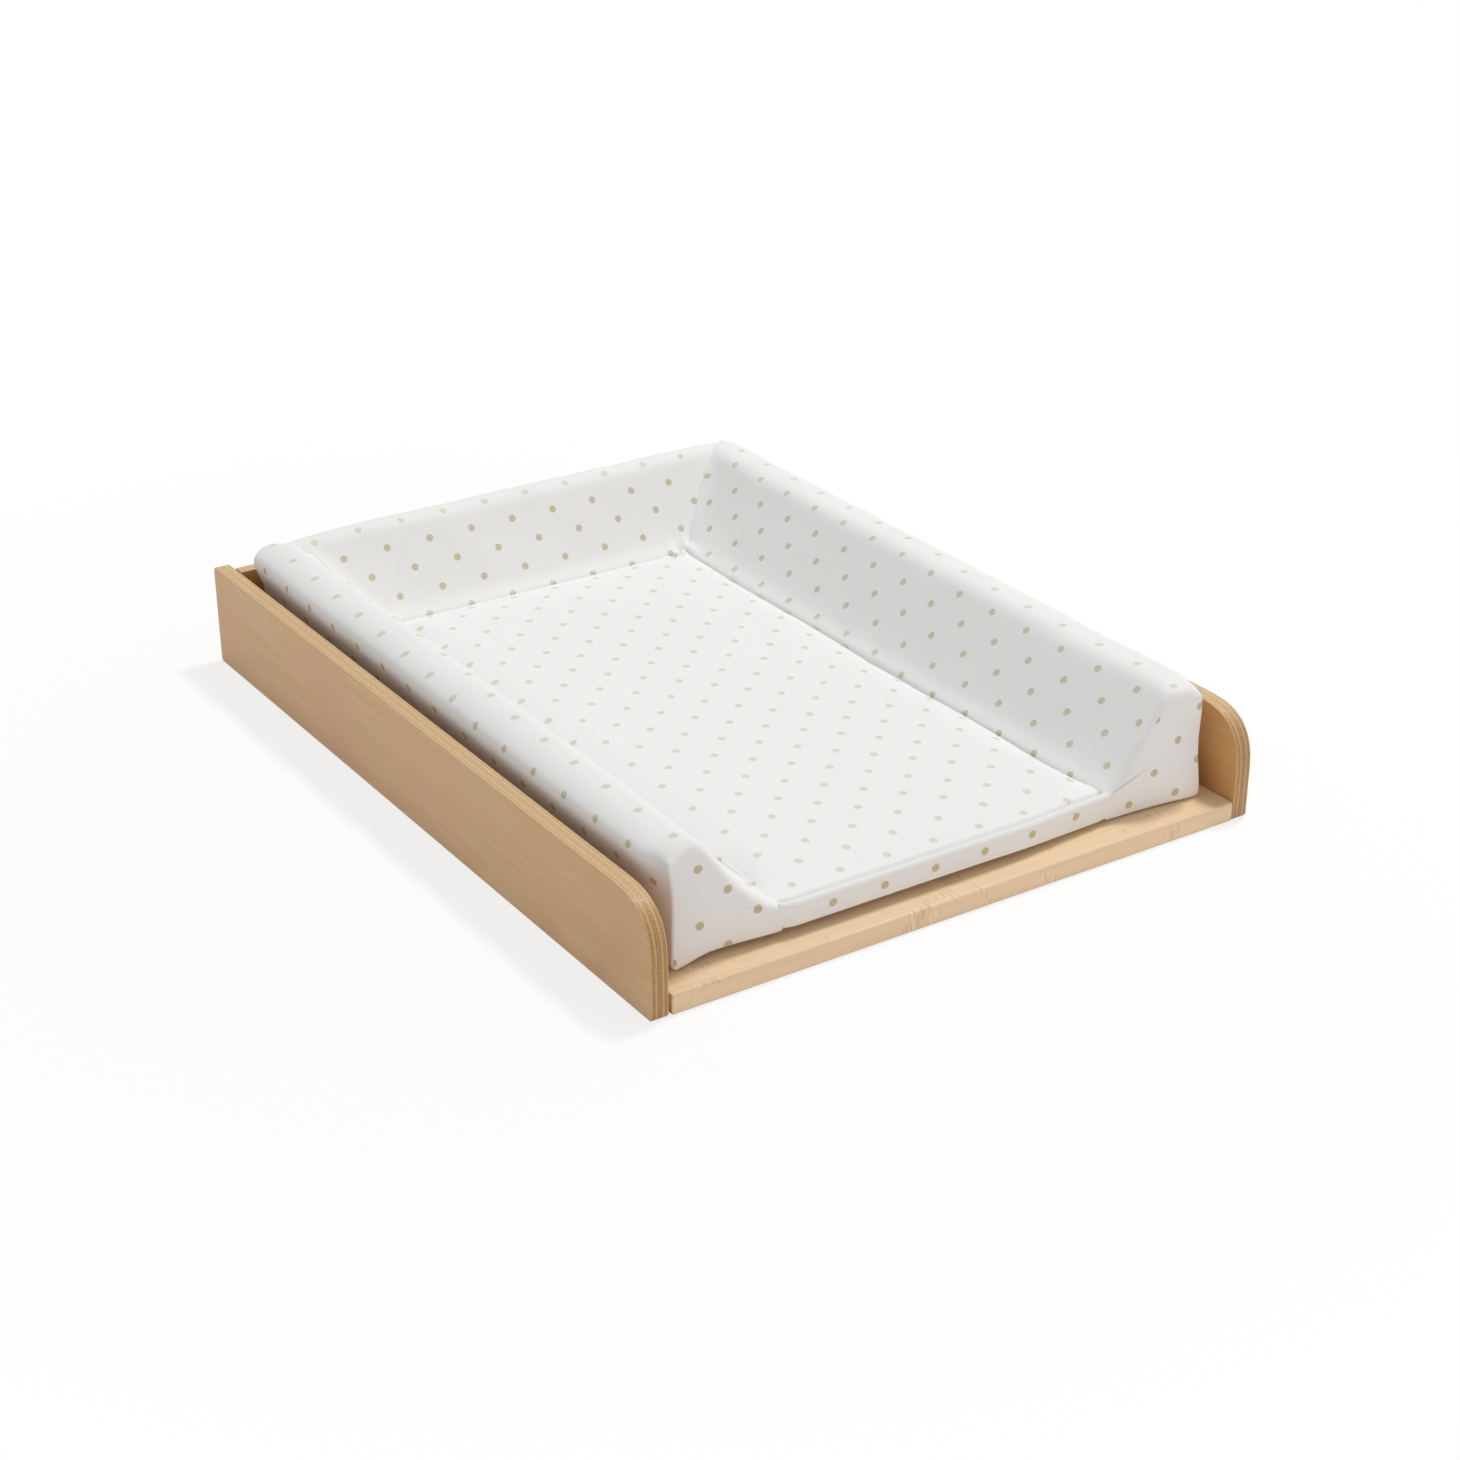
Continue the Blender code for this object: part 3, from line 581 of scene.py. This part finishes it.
def sideBolster(name, side, settings):
    # Each ring is the wedge at a share t of the way from the front to the mitre: y = front + t L(u), where
    # L is the length at the inward distance u. The front end has its own, rounder section, domed by d (1 - r^2).
    outer = mat["left"] if side < 0 else mat["right"]
    depth = mat["back"] - mat["front"]
    crest, foot = settings["crest"], mat["sideFoot"]
    body = wedgeOutline(foot, settings, crest, settings["drop"])
    end = wedgeOutline(foot, settings, settings["endCrest"], settings["endDrop"])
    drawIn = (1 - smoothStep(end[:, 0], 0.0, 0.5 * foot)) * smoothStep(end[:, 1], 0.0, bolster["drawInHeight"])
    end[:, 0] += settings["endIn"] * drawIn
    slope = np.clip((end[:, 0] - settings["endCrest"]) / (foot - settings["endCrest"]), 0, 1)
    end[:, 1] -= settings["endDip"] * np.sin(np.pi * slope) ** 2 * (end[:, 1] > mat["seamHeight"])
    endBulge, fullBulge = settings["bulge"]
    dome, (sideRadius, topRadius) = bolster["endDome"], bolster["rimRadius"]
    start = dome + topRadius
    corner = mat["corners"][0 if side < 0 else 1]
    meet = mitreEnd(outerBulge(body.copy(), settings, fullBulge)[:, 0], crest, mitre, corner)
    shares = rowShares(depth, bolster["rowsNearEnd"])
    along = start + shares[:, None] * (depth - meet - start)
    blend = smoothStep(along, 0.0, bolster["endFade"])[..., None]
    bulge = endBulge + (fullBulge - endBulge) * smoothStep(along, 0.0, bolster["bulgeFade"])
    sections = outerBulge(end * (1 - blend) + body * blend, settings, bulge)
    inward, up = bolsterBody(sections, settings, depth - along, meet, shares, corner)
    bodyRings = np.stack([inward, along, up], -1)
    end = outerBulge(end, settings, endBulge)
    end[:, 1] += settings["rise"][0] * (end[:, 1] / settings["height"]) ** 2
    # The rim is tight down the sides and wide over the top and the slope
    endNormals = outlineNormals(end)
    radius = (sideRadius + (topRadius - sideRadius) * smoothStep(endNormals[:, 1], *bolster["rimTurn"]))[:, None]
    footFrom, footTo = bolster["rimFootReach"]
    endNormals[:, 0] *= 1 - (1 - bolster["rimAtFoot"]) * smoothStep(end[:, 0], foot - footFrom, foot - footTo)
    angles = np.radians(bolster["rimAngles"])[:, None, None]
    rimSections = end - endNormals * radius * (1 - np.sin(angles))
    rimAlong = dome + radius * (1 - np.cos(angles))
    rimRings = np.concatenate([rimSections[..., :1], rimAlong, rimSections[..., 1:]], -1)
    capShares = np.linspace(0.0, 1.0, bolster["endRings"])[:-1]
    capSections = fan(rimSections[0], capShares)
    capAlong = np.broadcast_to((dome * capShares ** 2)[:, None, None], capSections[..., :1].shape)
    capRings = np.concatenate([capSections[..., :1], capAlong, capSections[..., 1:]], -1)
    grid = np.concatenate([capRings, rimRings, bodyRings, fan(bodyRings[-1], bolster["mitreRings"])])
    points = np.stack([outer - side * grid[..., 0], mat["front"] + grid[..., 1], mat["bottom"] + grid[..., 2]], -1)
    # The upper front corner is pulled out to a small ear
    ear = np.array([outer, mat["front"], mat["bottom"] + settings["height"] - bolster["earDrop"]])
    bell = np.exp(-(np.linalg.norm(points - ear, axis=-1) / bolster["earReach"]) ** 2) * settings["ear"]
    points = points + bell[..., None] * np.array([side, *bolster["earWay"]])
    # Cloth coordinates: the length up from the foot, and the place along the mat, with a drift at the front, a
    # creep towards the back and a longer way over the crest
    closed = closedGrid(points)
    across = np.broadcast_to(slopeLength(body, foot), closed.shape[:2])
    creep = np.clip((closed[..., 1] - settings["creepFrom"]) / (mat["back"] - settings["creepFrom"]), 0, 1)
    drift = settings["drift"] * (1 - smoothStep(closed[..., 1], *mat["driftAlong"])) + settings["creep"][0] * creep
    drift = drift + settings["overCrest"] * smoothStep(across, *bolster["crestPlace"])
    along = closed[..., 1] - settings["dots"][1] + settings["shear"] * across + settings["creep"][1] * creep
    cloth = np.stack([across - settings["dots"][0] + drift, along], -1)
    points = settle(points)
    capCloth = (closedGrid(points)[..., [0, 2]] - np.array(settings["endDots"])) * np.array(settings["endScale"])
    isCap = np.arange(len(points) - 1) < len(capShares) + 1
    mesh = tubeMesh(name, points, cloth, capCloth, isCap)
    piece = newPiece(name, mesh, "mat", cottonCloth)
    points = getPoints(mesh)
    inward = (outer - points[:, 0]) * side
    fromMitre = mat["back"] - points[:, 1] - inward * mitre
    fromFront = np.abs(points[:, 1] - mat["front"] - start)
    swell(piece, inward, foot, [1 - smoothStep(fromFront, *bolster["frontHold"]),
                                1 - smoothStep(fromMitre, *bolster["mitreHold"])])
    return piece


def acrossBolster(name, settings):
    # As a side bolster, but across the back, with a mitre at both ends: x = left + e(v) + t (width - e(v) - f(v)).
    # Its top sinks at both ends by s exp(-(d / reach)^2).
    width = mat["right"] - mat["left"]
    foot = mat["backFoot"]
    outline = wedgeOutline(foot, settings, settings["crest"], settings["drop"])
    bulged = outerBulge(outline.copy(), settings, settings["bulge"])[:, 0]
    leftMeet, rightMeet = [mitreEnd(bulged, settings["crest"], 1 / mitre, corner) for corner in mat["corners"]]
    shares = rowShares(width, bolster["rowsNearEnd"])
    along = leftMeet + shares[:, None] * (width - leftMeet - rightMeet)
    onLeft = along < width / 2
    sections = outerBulge(np.tile(outline, (len(shares), 1, 1)), settings, settings["bulge"])
    inward, up = bolsterBody(sections, settings, np.minimum(along, width - along),
                             np.where(onLeft, leftMeet, rightMeet), shares, np.where(onLeft, *mat["corners"]))
    for fromEnd, amount in zip((along, width - along), settings["sink"]):
        up = up - amount * np.exp(-(fromEnd / settings["sinkReach"]) ** 2) * (up / settings["height"]) ** 2
    rings = np.stack([along, inward, up], -1)
    grid = np.concatenate([fan(rings[0], bolster["mitreRings"][::-1]), rings, fan(rings[-1], bolster["mitreRings"])])
    points = np.stack([mat["left"] + grid[..., 0], mat["back"] - grid[..., 1], mat["bottom"] + grid[..., 2]], -1)
    closed = closedGrid(points)
    across = np.broadcast_to(slopeLength(outline, foot), closed.shape[:2])
    cloth = np.stack([closed[..., 0] - settings["dots"][1], across - settings["dots"][0]], -1)
    mesh = tubeMesh(name, settle(points), cloth, cloth, [False] * (len(points) - 1))
    piece = newPiece(name, mesh, "mat", cottonCloth)
    points = getPoints(mesh)
    inward = mat["back"] - points[:, 1]
    toSide = np.minimum(points[:, 0] - mat["left"], mat["right"] - points[:, 0])
    swell(piece, inward, foot, [1 - smoothStep(toSide - inward / mitre, *bolster["mitreHold"])])
    return piece


leftPiece = sideBolster("left_bolster_cover", -1, leftBolster)
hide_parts("left_bolster")
rightPiece = sideBolster("right_bolster_cover", 1, rightBolster)
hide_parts("right_bolster")
backPiece = acrossBolster("back_bolster_cover", backBolster)
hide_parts("back_bolster")
for piece in (leftPiece, rightPiece, backPiece):
    addSubdivision(piece, 1)
print("bolsters made")


# ---- base pad

# The edge rows lie at the edgeSteps from the pad's ends, and the first four are drawn in by the edgeDraws. The holds
# are the distances over which the simulation is held: from the seam down, the front, the back and the sides.
pad = {"rows": 56, "columns": 190, "radii": (0.0, 0.004, 0.0028, 0.003, 0.004), "frontFocus": (6.0, 0.013, 0.002),
       "backFocus": (2.0, 0.020), "edgeSteps": (0.0, 0.0007, 0.0020, 0.0040, 0.0065, 0.0095, 0.0125),
       "edgeDraws": (0.0022, 0.0010, 0.0003, 0.0), "innerFrom": 0.017, "crown": 0.0050, "shoulder": (0.006, 0.055),
       "backShoulder": 0.03, "sideShoulder": 0.022, "topFrom": (0.003, 0.0005), "grooveAt": 0.0070,
       "grooveDepth": 0.0078, "grooveWidth": 0.0018, "ridge": 0.0018, "ridgeAt": 0.0030, "backTuck": 0.0015,
       "sideTuck": 0.0040, "openSeam": 0.0048, "openReach": 0.010, "openFrom": (0.015, 0.04), "endDive": 0.0018,
       "diveReach": (0.002, 0.014), "diveDepth": 0.03, "bandEdge": 0.004, "dots": (0.0053, -0.0113), "shear": 0.018,
       "topShift": -0.0093, "bandDots": (0.0300, 0.0343), "bandScale": (0.912, 1.0), "topHold": (0.002, 0.006),
       "frontHold": (0.014, 0.010), "backHold": (0.008, 0.004), "sideHold": (0.006, 0.002), "stiffness": 12.0,
       "bending": 0.8, "pressure": 1.0, "slack": 0.002, "cap": 0.0025, "evenTurns": 4, "crumple": 0.0005,
       "crumpleSize": 0.070, "seed": 8}


def basePad(name):
    # Rings in the Y-Z plane, carried across the pad along X. The top is seam + crown a(v) b(x), where a and b
    # rise smoothly from the edges, less a groove g exp(-((v - v0) / w)^2) behind the front seam and plus the
    # piped ridge of that seam.
    low = mat["left"] + mat["sideFoot"] - pad["sideTuck"]
    high = mat["right"] - mat["sideFoot"] + pad["sideTuck"]
    length = mat["back"] - mat["backFoot"] + pad["backTuck"] - mat["front"]
    seam = mat["seamHeight"]
    corners = [(length * 0.6, 0.0), (0.0, 0.0), (0.0, seam), (length, seam), (length, 0.0)]
    (frontMore, frontReach, frontFrom), (backMore, backReach) = pad["frontFocus"], pad["backFocus"]
    focus = lambda p: (1.0 + frontMore * np.exp(-(p[:, 0] / frontReach) ** 2) * (p[:, 1] > frontFrom)
                       + backMore * np.exp(-((length - p[:, 0]) / backReach) ** 2))
    outline = roundedOutline(corners, pad["radii"], pad["columns"], focus)
    normals = outlineNormals(outline)
    edge = np.array(pad["edgeSteps"])
    middle = np.linspace(pad["innerFrom"], high - low - pad["innerFrom"], pad["rows"])
    places = np.concatenate([edge, middle, (high - low) - edge[::-1]])[:, None]
    toEnd = np.minimum(places, high - low - places)
    draws = np.interp(toEnd, edge[:4], pad["edgeDraws"])
    section = outline - normals * draws[..., None]
    v, w = section[..., 0], section[..., 1]
    onTop = smoothStep(outline[:, 1], seam - pad["topFrom"][0], seam - pad["topFrom"][1])
    crown = pad["crown"] * smoothStep(v, *pad["shoulder"]) * smoothStep(length - v, 0.0, pad["backShoulder"])
    crown = crown * smoothStep(toEnd, 0.0, pad["sideShoulder"])
    groove = pad["grooveDepth"] * np.exp(-((v - pad["grooveAt"]) / pad["grooveWidth"]) ** 2)
    ridge = pad["ridge"] * np.exp(-((v - pad["ridgeAt"]) / pad["grooveWidth"]) ** 2)
    w = w + (crown - groove + ridge) * onTop
    # The ends dive behind the bolsters' front faces, and further back they draw in and leave the seam open
    v = v + pad["endDive"] * (1 - smoothStep(toEnd, *pad["diveReach"])) * (1 - smoothStep(v, 0.0, pad["diveDepth"]))
    gap = pad["openSeam"] * (1 - smoothStep(toEnd, 0.0, pad["openReach"])) * smoothStep(v, *pad["openFrom"])
    across = low + places + gap * np.where(places < (high - low) / 2, 1, -1)
    rings = np.stack([across, mat["front"] + v, mat["bottom"] + w], -1)
    rings = np.concatenate([fan(rings[0], (0.0, 0.5)), rings, fan(rings[-1], (0.5, 0.0))])
    rings = settle(rings, -1)
    closed = closedGrid(rings)
    drift = pad["topShift"] * (1 - smoothStep(closed[..., 1], *mat["driftAlong"]))
    top = np.stack([closed[..., 0] - pad["dots"][0] - drift,
                    closed[..., 1] - pad["dots"][1] + pad["shear"] * closed[..., 0]], -1)
    band = (closed[..., [0, 2]] - np.array(pad["bandDots"])) * np.array(pad["bandScale"])
    isBand = (outline[:, 0] < pad["bandEdge"]) | (outline[:, 1] < pad["bandEdge"])
    isBand = isBand & np.roll(isBand, -1)
    mesh = tubeMesh(name, rings, top, band, [False] * (len(rings) - 1), isBand)
    piece = newPiece(name, mesh, "mat", cottonCloth)
    points = getPoints(mesh)
    fromFront = points[:, 1] - mat["front"]
    held = np.max([smoothStep(mat["bottom"] + seam - points[:, 2], *pad["topHold"]),
                   smoothStep(fromFront, *pad["frontHold"]),
                   smoothStep(length - fromFront, *pad["backHold"]),
                   smoothStep(points[:, 0] - low, *pad["sideHold"]),
                   smoothStep(high - points[:, 0], *pad["sideHold"])], 0)
    plump(piece, held, pad)
    crumple(piece, held, pad)
    return piece


padPiece = basePad("base_pad_cover")
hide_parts("base_pad")
addSubdivision(padPiece, 1)
print("base pad made")


# ---- lining under the mat

def plainCloth(name):
    material, g = newMaterial(name)
    place = g.place()
    weave = weaveHeight(g, place, lining["threadPitch"])
    bump = g.add("Bump", {"Strength": 0.4, "Distance": 0.0001, "Height": weave})
    colour = g.mix(g.noise(place, 60.0, 3.0), lining["light"], lining["dark"])
    g.output(g.add("BsdfPrincipled", {"Base Color": colour, "Roughness": 0.9, "Normal": bump.outputs[0]}))
    return material


lining = {"thickness": 0.0008, "corner": 0.018, "frontInset": 0.014, "outlinePoints": 160, "threadPitch": 0.0008,
          "light": paint(236, 236, 233), "dark": paint(226, 226, 223)}


def liningPiece(name):
    # A thin cloth with rounded corners: the outline is carried up over its thickness
    low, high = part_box("mat_lining")
    front = low.y + lining["frontInset"]
    corners = [(0.0, front), (high.x, front), (high.x, high.y), (low.x, high.y), (low.x, front)]
    outline = roundedOutline(corners, [0.0] + [lining["corner"]] * 4, lining["outlinePoints"])
    bottom = np.column_stack([outline, np.full(len(outline), low.z)])
    top = bottom + np.array([0.0, 0.0, lining["thickness"]])
    count = len(outline)
    k = np.arange(count)
    sides = gridFaces(2, count)[2].reshape(-1, 4).tolist()
    mesh = bpy.data.meshes.new(name)
    mesh.from_pydata(np.concatenate([bottom, top]).tolist(), [], sides + [k[::-1].tolist(), (k + count).tolist()])
    mesh.update()
    piece = newPiece(name, mesh, "mat", plainCloth("plain lining"))
    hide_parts("mat_lining")
    return piece


liningPiece("mat_lining_cloth")
print("lining made")


# ---- wood

wood = {"veneerLight": paint(224, 188, 141), "veneerDark": paint(214, 176, 130), "veneerRed": paint(219, 174, 134),
        "insideShadeTint": paint(243, 222, 190), "edgeLight": paint(228, 198, 152), "edgeMiddle": paint(204, 168, 124),
        "edgeDark": paint(178, 140, 96), "endTint": paint(224, 202, 166), "glue": paint(118, 84, 50), "plies": 7,
        "beechLight": paint(241, 215, 179), "beechDark": paint(226, 195, 156), "flameLight": paint(248, 228, 196),
        "flameDark": paint(208, 172, 132), "wander": 0.25, "unevenPlies": (0.9, 0.4), "glueAt": (0.40, 0.48),
        "glueShare": 0.72, "fleck": 900.0, "topLines": 0.45, "endShare": 0.55, "plyTones": (0.12, 0.55, 0.6),
        "beechTones": (0.15, 0.6, 0.5), "mottleSize": 11.0, "mottleShare": 0.8, "patchSize": (40.0, 55.0, 40.0),
        "patchShare": 0.45, "plyRough": (0.42, 0.58), "beechRough": (0.40, 0.55)}


def grainHeight(g, place, stretch):
    # Long streaks: noise on coordinates squeezed along the grain
    drawn = g.vector("MULTIPLY", place, stretch)
    return g.noise(drawn, 1.0, 4.0, 0.6)


def grainTone(g, place, grain, stretch, broadness, fine, wide):
    # Share of the darker tone: the grain and a broader noise along it, each with its own weight
    broad = g.noise(g.vector("MULTIPLY", place, tuple(s * broadness for s in stretch)), 1.0, 2.0)
    tone = g.math("ADD", g.math("MULTIPLY", grain, fine), g.math("MULTIPLY", broad, wide))
    return g.smooth(tone, 0.3, 0.85)


def varnish(g, colour, grain, rough):
    # Thin matt varnish over the wood, with the grain in shallow relief
    bump = g.add("Bump", {"Strength": 0.2, "Distance": 0.0002, "Height": grain})
    g.output(g.add("BsdfPrincipled", {"Base Color": colour, "Roughness": g.smooth(grain, 0.2, 0.8, *rough),
                                      "Normal": bump.outputs[0], "Specular IOR Level": 0.35}))


def plywood(name, axis, low, thickness, stretch, inside=0.0):
    # Veneer on the two faces, with painted shade on the one whose normal has the sign of inside: a deeper, browner
    # tone standing in for the shade and warm bounce in the gap beside the mat. On the edges are the plies that the
    # thickness is made of: light and dark by turns with a thin glue line between them, fainter on the top edge than
    # on the end grain
    material, g = newMaterial(name)
    place = g.place()
    normal = g.add("NewGeometry").outputs["Normal"]
    facing = g.add("SeparateXYZ", {0: g.vector("ABSOLUTE", normal)})
    split = g.add("SeparateXYZ", {0: place})
    depth = g.math("MULTIPLY", g.math("SUBTRACT", split.outputs[axis], low), wood["plies"] / thickness)
    wander = g.noise(place, 35.0, 1.0)
    depth = g.math("ADD", depth, g.math("MULTIPLY", g.math("SUBTRACT", wander, 0.5), wood["wander"]))
    # Plies of uneven thickness: d + b sin(a d)
    rate, uneven = wood["unevenPlies"]
    depth = g.math("ADD", depth, g.math("MULTIPLY", g.math("SINE", g.math("MULTIPLY", depth, rate)), uneven))
    inPly = g.math("FRACT", depth)
    odd = g.math("FLOORED_MODULO", g.math("FLOOR", depth), 2.0)
    glue = g.smooth(g.math("ABSOLUTE", g.math("SUBTRACT", inPly, 0.5)), *wood["glueAt"])
    fleck = g.noise(g.vector("MULTIPLY", place, (wood["fleck"],) * 3), 1.0, 2.0)
    fleck = g.smooth(fleck, 0.3, 0.7)
    light = g.mix(fleck, wood["edgeLight"], wood["edgeMiddle"])
    dark = g.mix(fleck, wood["edgeMiddle"], wood["edgeDark"])
    lines = g.smooth(facing.outputs[2], 0.6, 0.98, 1.0, wood["topLines"])
    edge = g.mix(g.math("MULTIPLY", odd, lines), light, dark)
    edge = g.mix(g.math("MULTIPLY", g.math("MULTIPLY", glue, lines), wood["glueShare"]), edge, wood["glue"])
    endGrain = g.math("MULTIPLY", facing.outputs[1 if axis == 0 else 0], wood["endShare"])
    edge = g.mix(endGrain, edge, g.mix(1.0, edge, wood["endTint"], "MULTIPLY"))
    grain = grainHeight(g, place, stretch)
    tone = grainTone(g, place, grain, stretch, *wood["plyTones"])
    veneer = g.mix(tone, wood["veneerLight"], wood["veneerDark"])
    mottle = g.smooth(g.noise(place, wood["mottleSize"], 3.0), 0.42, 0.62, 0.0, wood["mottleShare"])
    veneer = g.mix(mottle, veneer, wood["veneerRed"])
    # Painted shade: the inner face's veneer is darkened and browned, standing in for the shaded gap beside the mat
    turned = g.math("MULTIPLY", g.add("SeparateXYZ", {0: normal}).outputs[axis], inside)
    veneer = g.mix(g.smooth(turned, 0.5, 0.9), veneer, g.mix(1.0, veneer, wood["insideShadeTint"], "MULTIPLY"))
    onFace = g.smooth(facing.outputs[axis], 0.6, 0.9)
    varnish(g, g.mix(onFace, edge, veneer), grain, wood["plyRough"])
    return material


def solidBeech(name, stretch, across):
    # Straight grain with short dark flecks, and patches where the grain flames across
    material, g = newMaterial(name)
    place = g.place()
    grain = grainHeight(g, place, stretch)
    tone = grainTone(g, place, grain, stretch, *wood["beechTones"])
    colour = g.mix(tone, wood["beechLight"], wood["beechDark"])
    stripes = g.noise(g.vector("MULTIPLY", place, across), 1.0, 1.0)
    flame = g.mix(g.smooth(stripes, 0.40, 0.60), wood["flameDark"], wood["flameLight"])
    spots = g.noise(g.vector("MULTIPLY", place, wood["patchSize"]), 1.0, 1.0)
    patches = g.smooth(spots, 0.60, 0.70, 0.0, wood["patchShare"])
    varnish(g, g.mix(patches, colour, flame), grain, wood["beechRough"])
    return material


def slabMesh(name, outline, low, high, axis, arris):
    # A board: the outline drawn in by a(1 - sin q) at the height a(1 - cos q) from each face, for q from 0 to 90
    # degrees, with a flat margin ring and one flat face at each end
    normals = outlineNormals(outline)
    angles = np.radians([0, 22.5, 45, 67.5, 90])
    draws = np.concatenate([[arris * 2], arris * (1 - np.sin(angles)), arris * (1 - np.sin(angles[::-1])), [arris * 2]])
    depths = np.concatenate([[low], low + arris * (1 - np.cos(angles)), high - arris * (1 - np.cos(angles[::-1])),
                             [high]])
    rings = outline[None] - normals[None] * draws[:, None, None]
    grid = np.insert(rings, axis, np.broadcast_to(depths[:, None], rings.shape[:2]), axis=2)
    rowCount, colCount = grid.shape[:2]
    faces = gridFaces(rowCount, colCount)[2]
    caps = [list(range(colCount)), list(range((rowCount - 1) * colCount, rowCount * colCount))]
    mesh = bpy.data.meshes.new(name)
    mesh.from_pydata(grid.reshape(-1, 3).tolist(), [], faces.reshape(-1, 4).tolist() + caps)
    cleanMesh(mesh)
    mesh.set_sharp_from_angle(angle=math.radians(40))
    return mesh


# panelCorner is the reach of the curve that stands for the panels' round front corner, railTop and railFoot are the
# rail's front edge above and below, and railGap is what its rebate leaves behind and under the base panel
boards = {"arris": 0.0009, "corner": 0.001, "panelCorner": 0.04788, "panelPoints": 420, "rearPoints": 300,
          "railArris": 0.0012, "railTop": 0.0022, "railFoot": 0.0018, "railPoints": 260, "railGap": (0.0005, 0.0003)}


def sidePanel(name, node, inside):
    low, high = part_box(node)
    corner = boards["corner"]
    corners = [(0.0, low.z), (high.y, low.z), (high.y, high.z), (low.y, high.z), (low.y, low.z)]
    outline = roundedOutline(corners, [0.0, corner, corner, boards["panelCorner"], corner], boards["panelPoints"])
    mesh = slabMesh(name, outline, low.x, high.x, 0, boards["arris"])
    material = plywood(name + " plywood", 0, low.x, high.x - low.x, (160.0, 6.0, 260.0), inside)
    piece = newPiece(name, mesh, "tray", material)
    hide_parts(node)
    return piece


sidePanel("left_side_panel_board", "left_side_panel", 1.0)
sidePanel("right_side_panel_board", "right_side_panel", -1.0)
print("side panels made")


def rearBoard(name):
    low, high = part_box("rear_board")
    middle = (low.x + high.x) / 2
    corners = [(middle, low.z), (high.x, low.z), (high.x, high.z), (low.x, high.z), (low.x, low.z)]
    outline = roundedOutline(corners, [0.0] + [boards["corner"]] * 4, boards["rearPoints"])
    mesh = slabMesh(name, outline, low.y, high.y, 1, boards["arris"])
    material = plywood(name + " plywood", 1, low.y, high.y - low.y, (6.0, 160.0, 260.0), -1.0)
    piece = newPiece(name, mesh, "tray", material)
    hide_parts("rear_board")


def frontRail(name):
    # The section in Y and Z, with the rebate that takes the base panel, carried across along X
    low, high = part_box("front_rail")
    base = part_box("base_panel")[0]
    backGap, stepGap = boards["railGap"]
    step, back = base.z - stepGap, base.y - backGap
    corners = [((low.y + back) / 2, low.z), (high.y, low.z), (high.y, step), (back, step), (back, high.z),
               (low.y, high.z), (low.y, low.z)]
    corner = boards["corner"]
    radii = [0.0, corner, corner, 0.0, corner, boards["railTop"], boards["railFoot"]]
    outline = roundedOutline(corners, radii, boards["railPoints"])[::-1].copy()
    mesh = slabMesh(name, outline, low.x, high.x, 0, boards["railArris"])
    material = solidBeech("rail beech", (7.0, 220.0, 220.0), (420.0, 60.0, 90.0))
    piece = newPiece(name, mesh, "tray", material)
    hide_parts("front_rail")


rearBoard("rear_board_panel")
frontRail("front_rail_board")
print("rear board and front rail made")

basePly = plywood("base plywood", 2, 0.012, 0.005, (6.0, 120.0, 60.0))
battenBeech = solidBeech("batten beech", (60.0, 8.0, 60.0), (20.0, 120.0, 20.0))
rearBattenBeech = solidBeech("rear batten beech", (8.0, 60.0, 60.0), (120.0, 20.0, 20.0))


def zincSteel(name):
    material, g = newMaterial(name)
    place = g.place()
    spangle = g.noise(place, 700.0, 2.0)
    colour = g.mix(spangle, paint(205, 206, 204), paint(180, 180, 172))
    rough = g.smooth(spangle, 0.2, 0.8, 0.25, 0.45)
    g.output(g.add("BsdfPrincipled", {"Base Color": colour, "Metallic": 1.0, "Roughness": rough}))
    return material


def dress(node, material):
    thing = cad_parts[node]
    thing.data.materials.clear()
    thing.data.materials.append(material)


zinc = zincSteel("zinc plated screws")
dowelBeech = solidBeech("dowel beech", (8.0, 200.0, 200.0), (60.0, 60.0, 60.0))
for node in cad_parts:
    if "screw" in node:
        dress(node, zinc)
    elif "dowel" in node:
        dress(node, dowelBeech)
dress("base_panel", basePly)
dress("left_batten", battenBeech)
dress("right_batten", battenBeech)
dress("rear_batten", rearBattenBeech)
print("hidden wood and screws dressed")
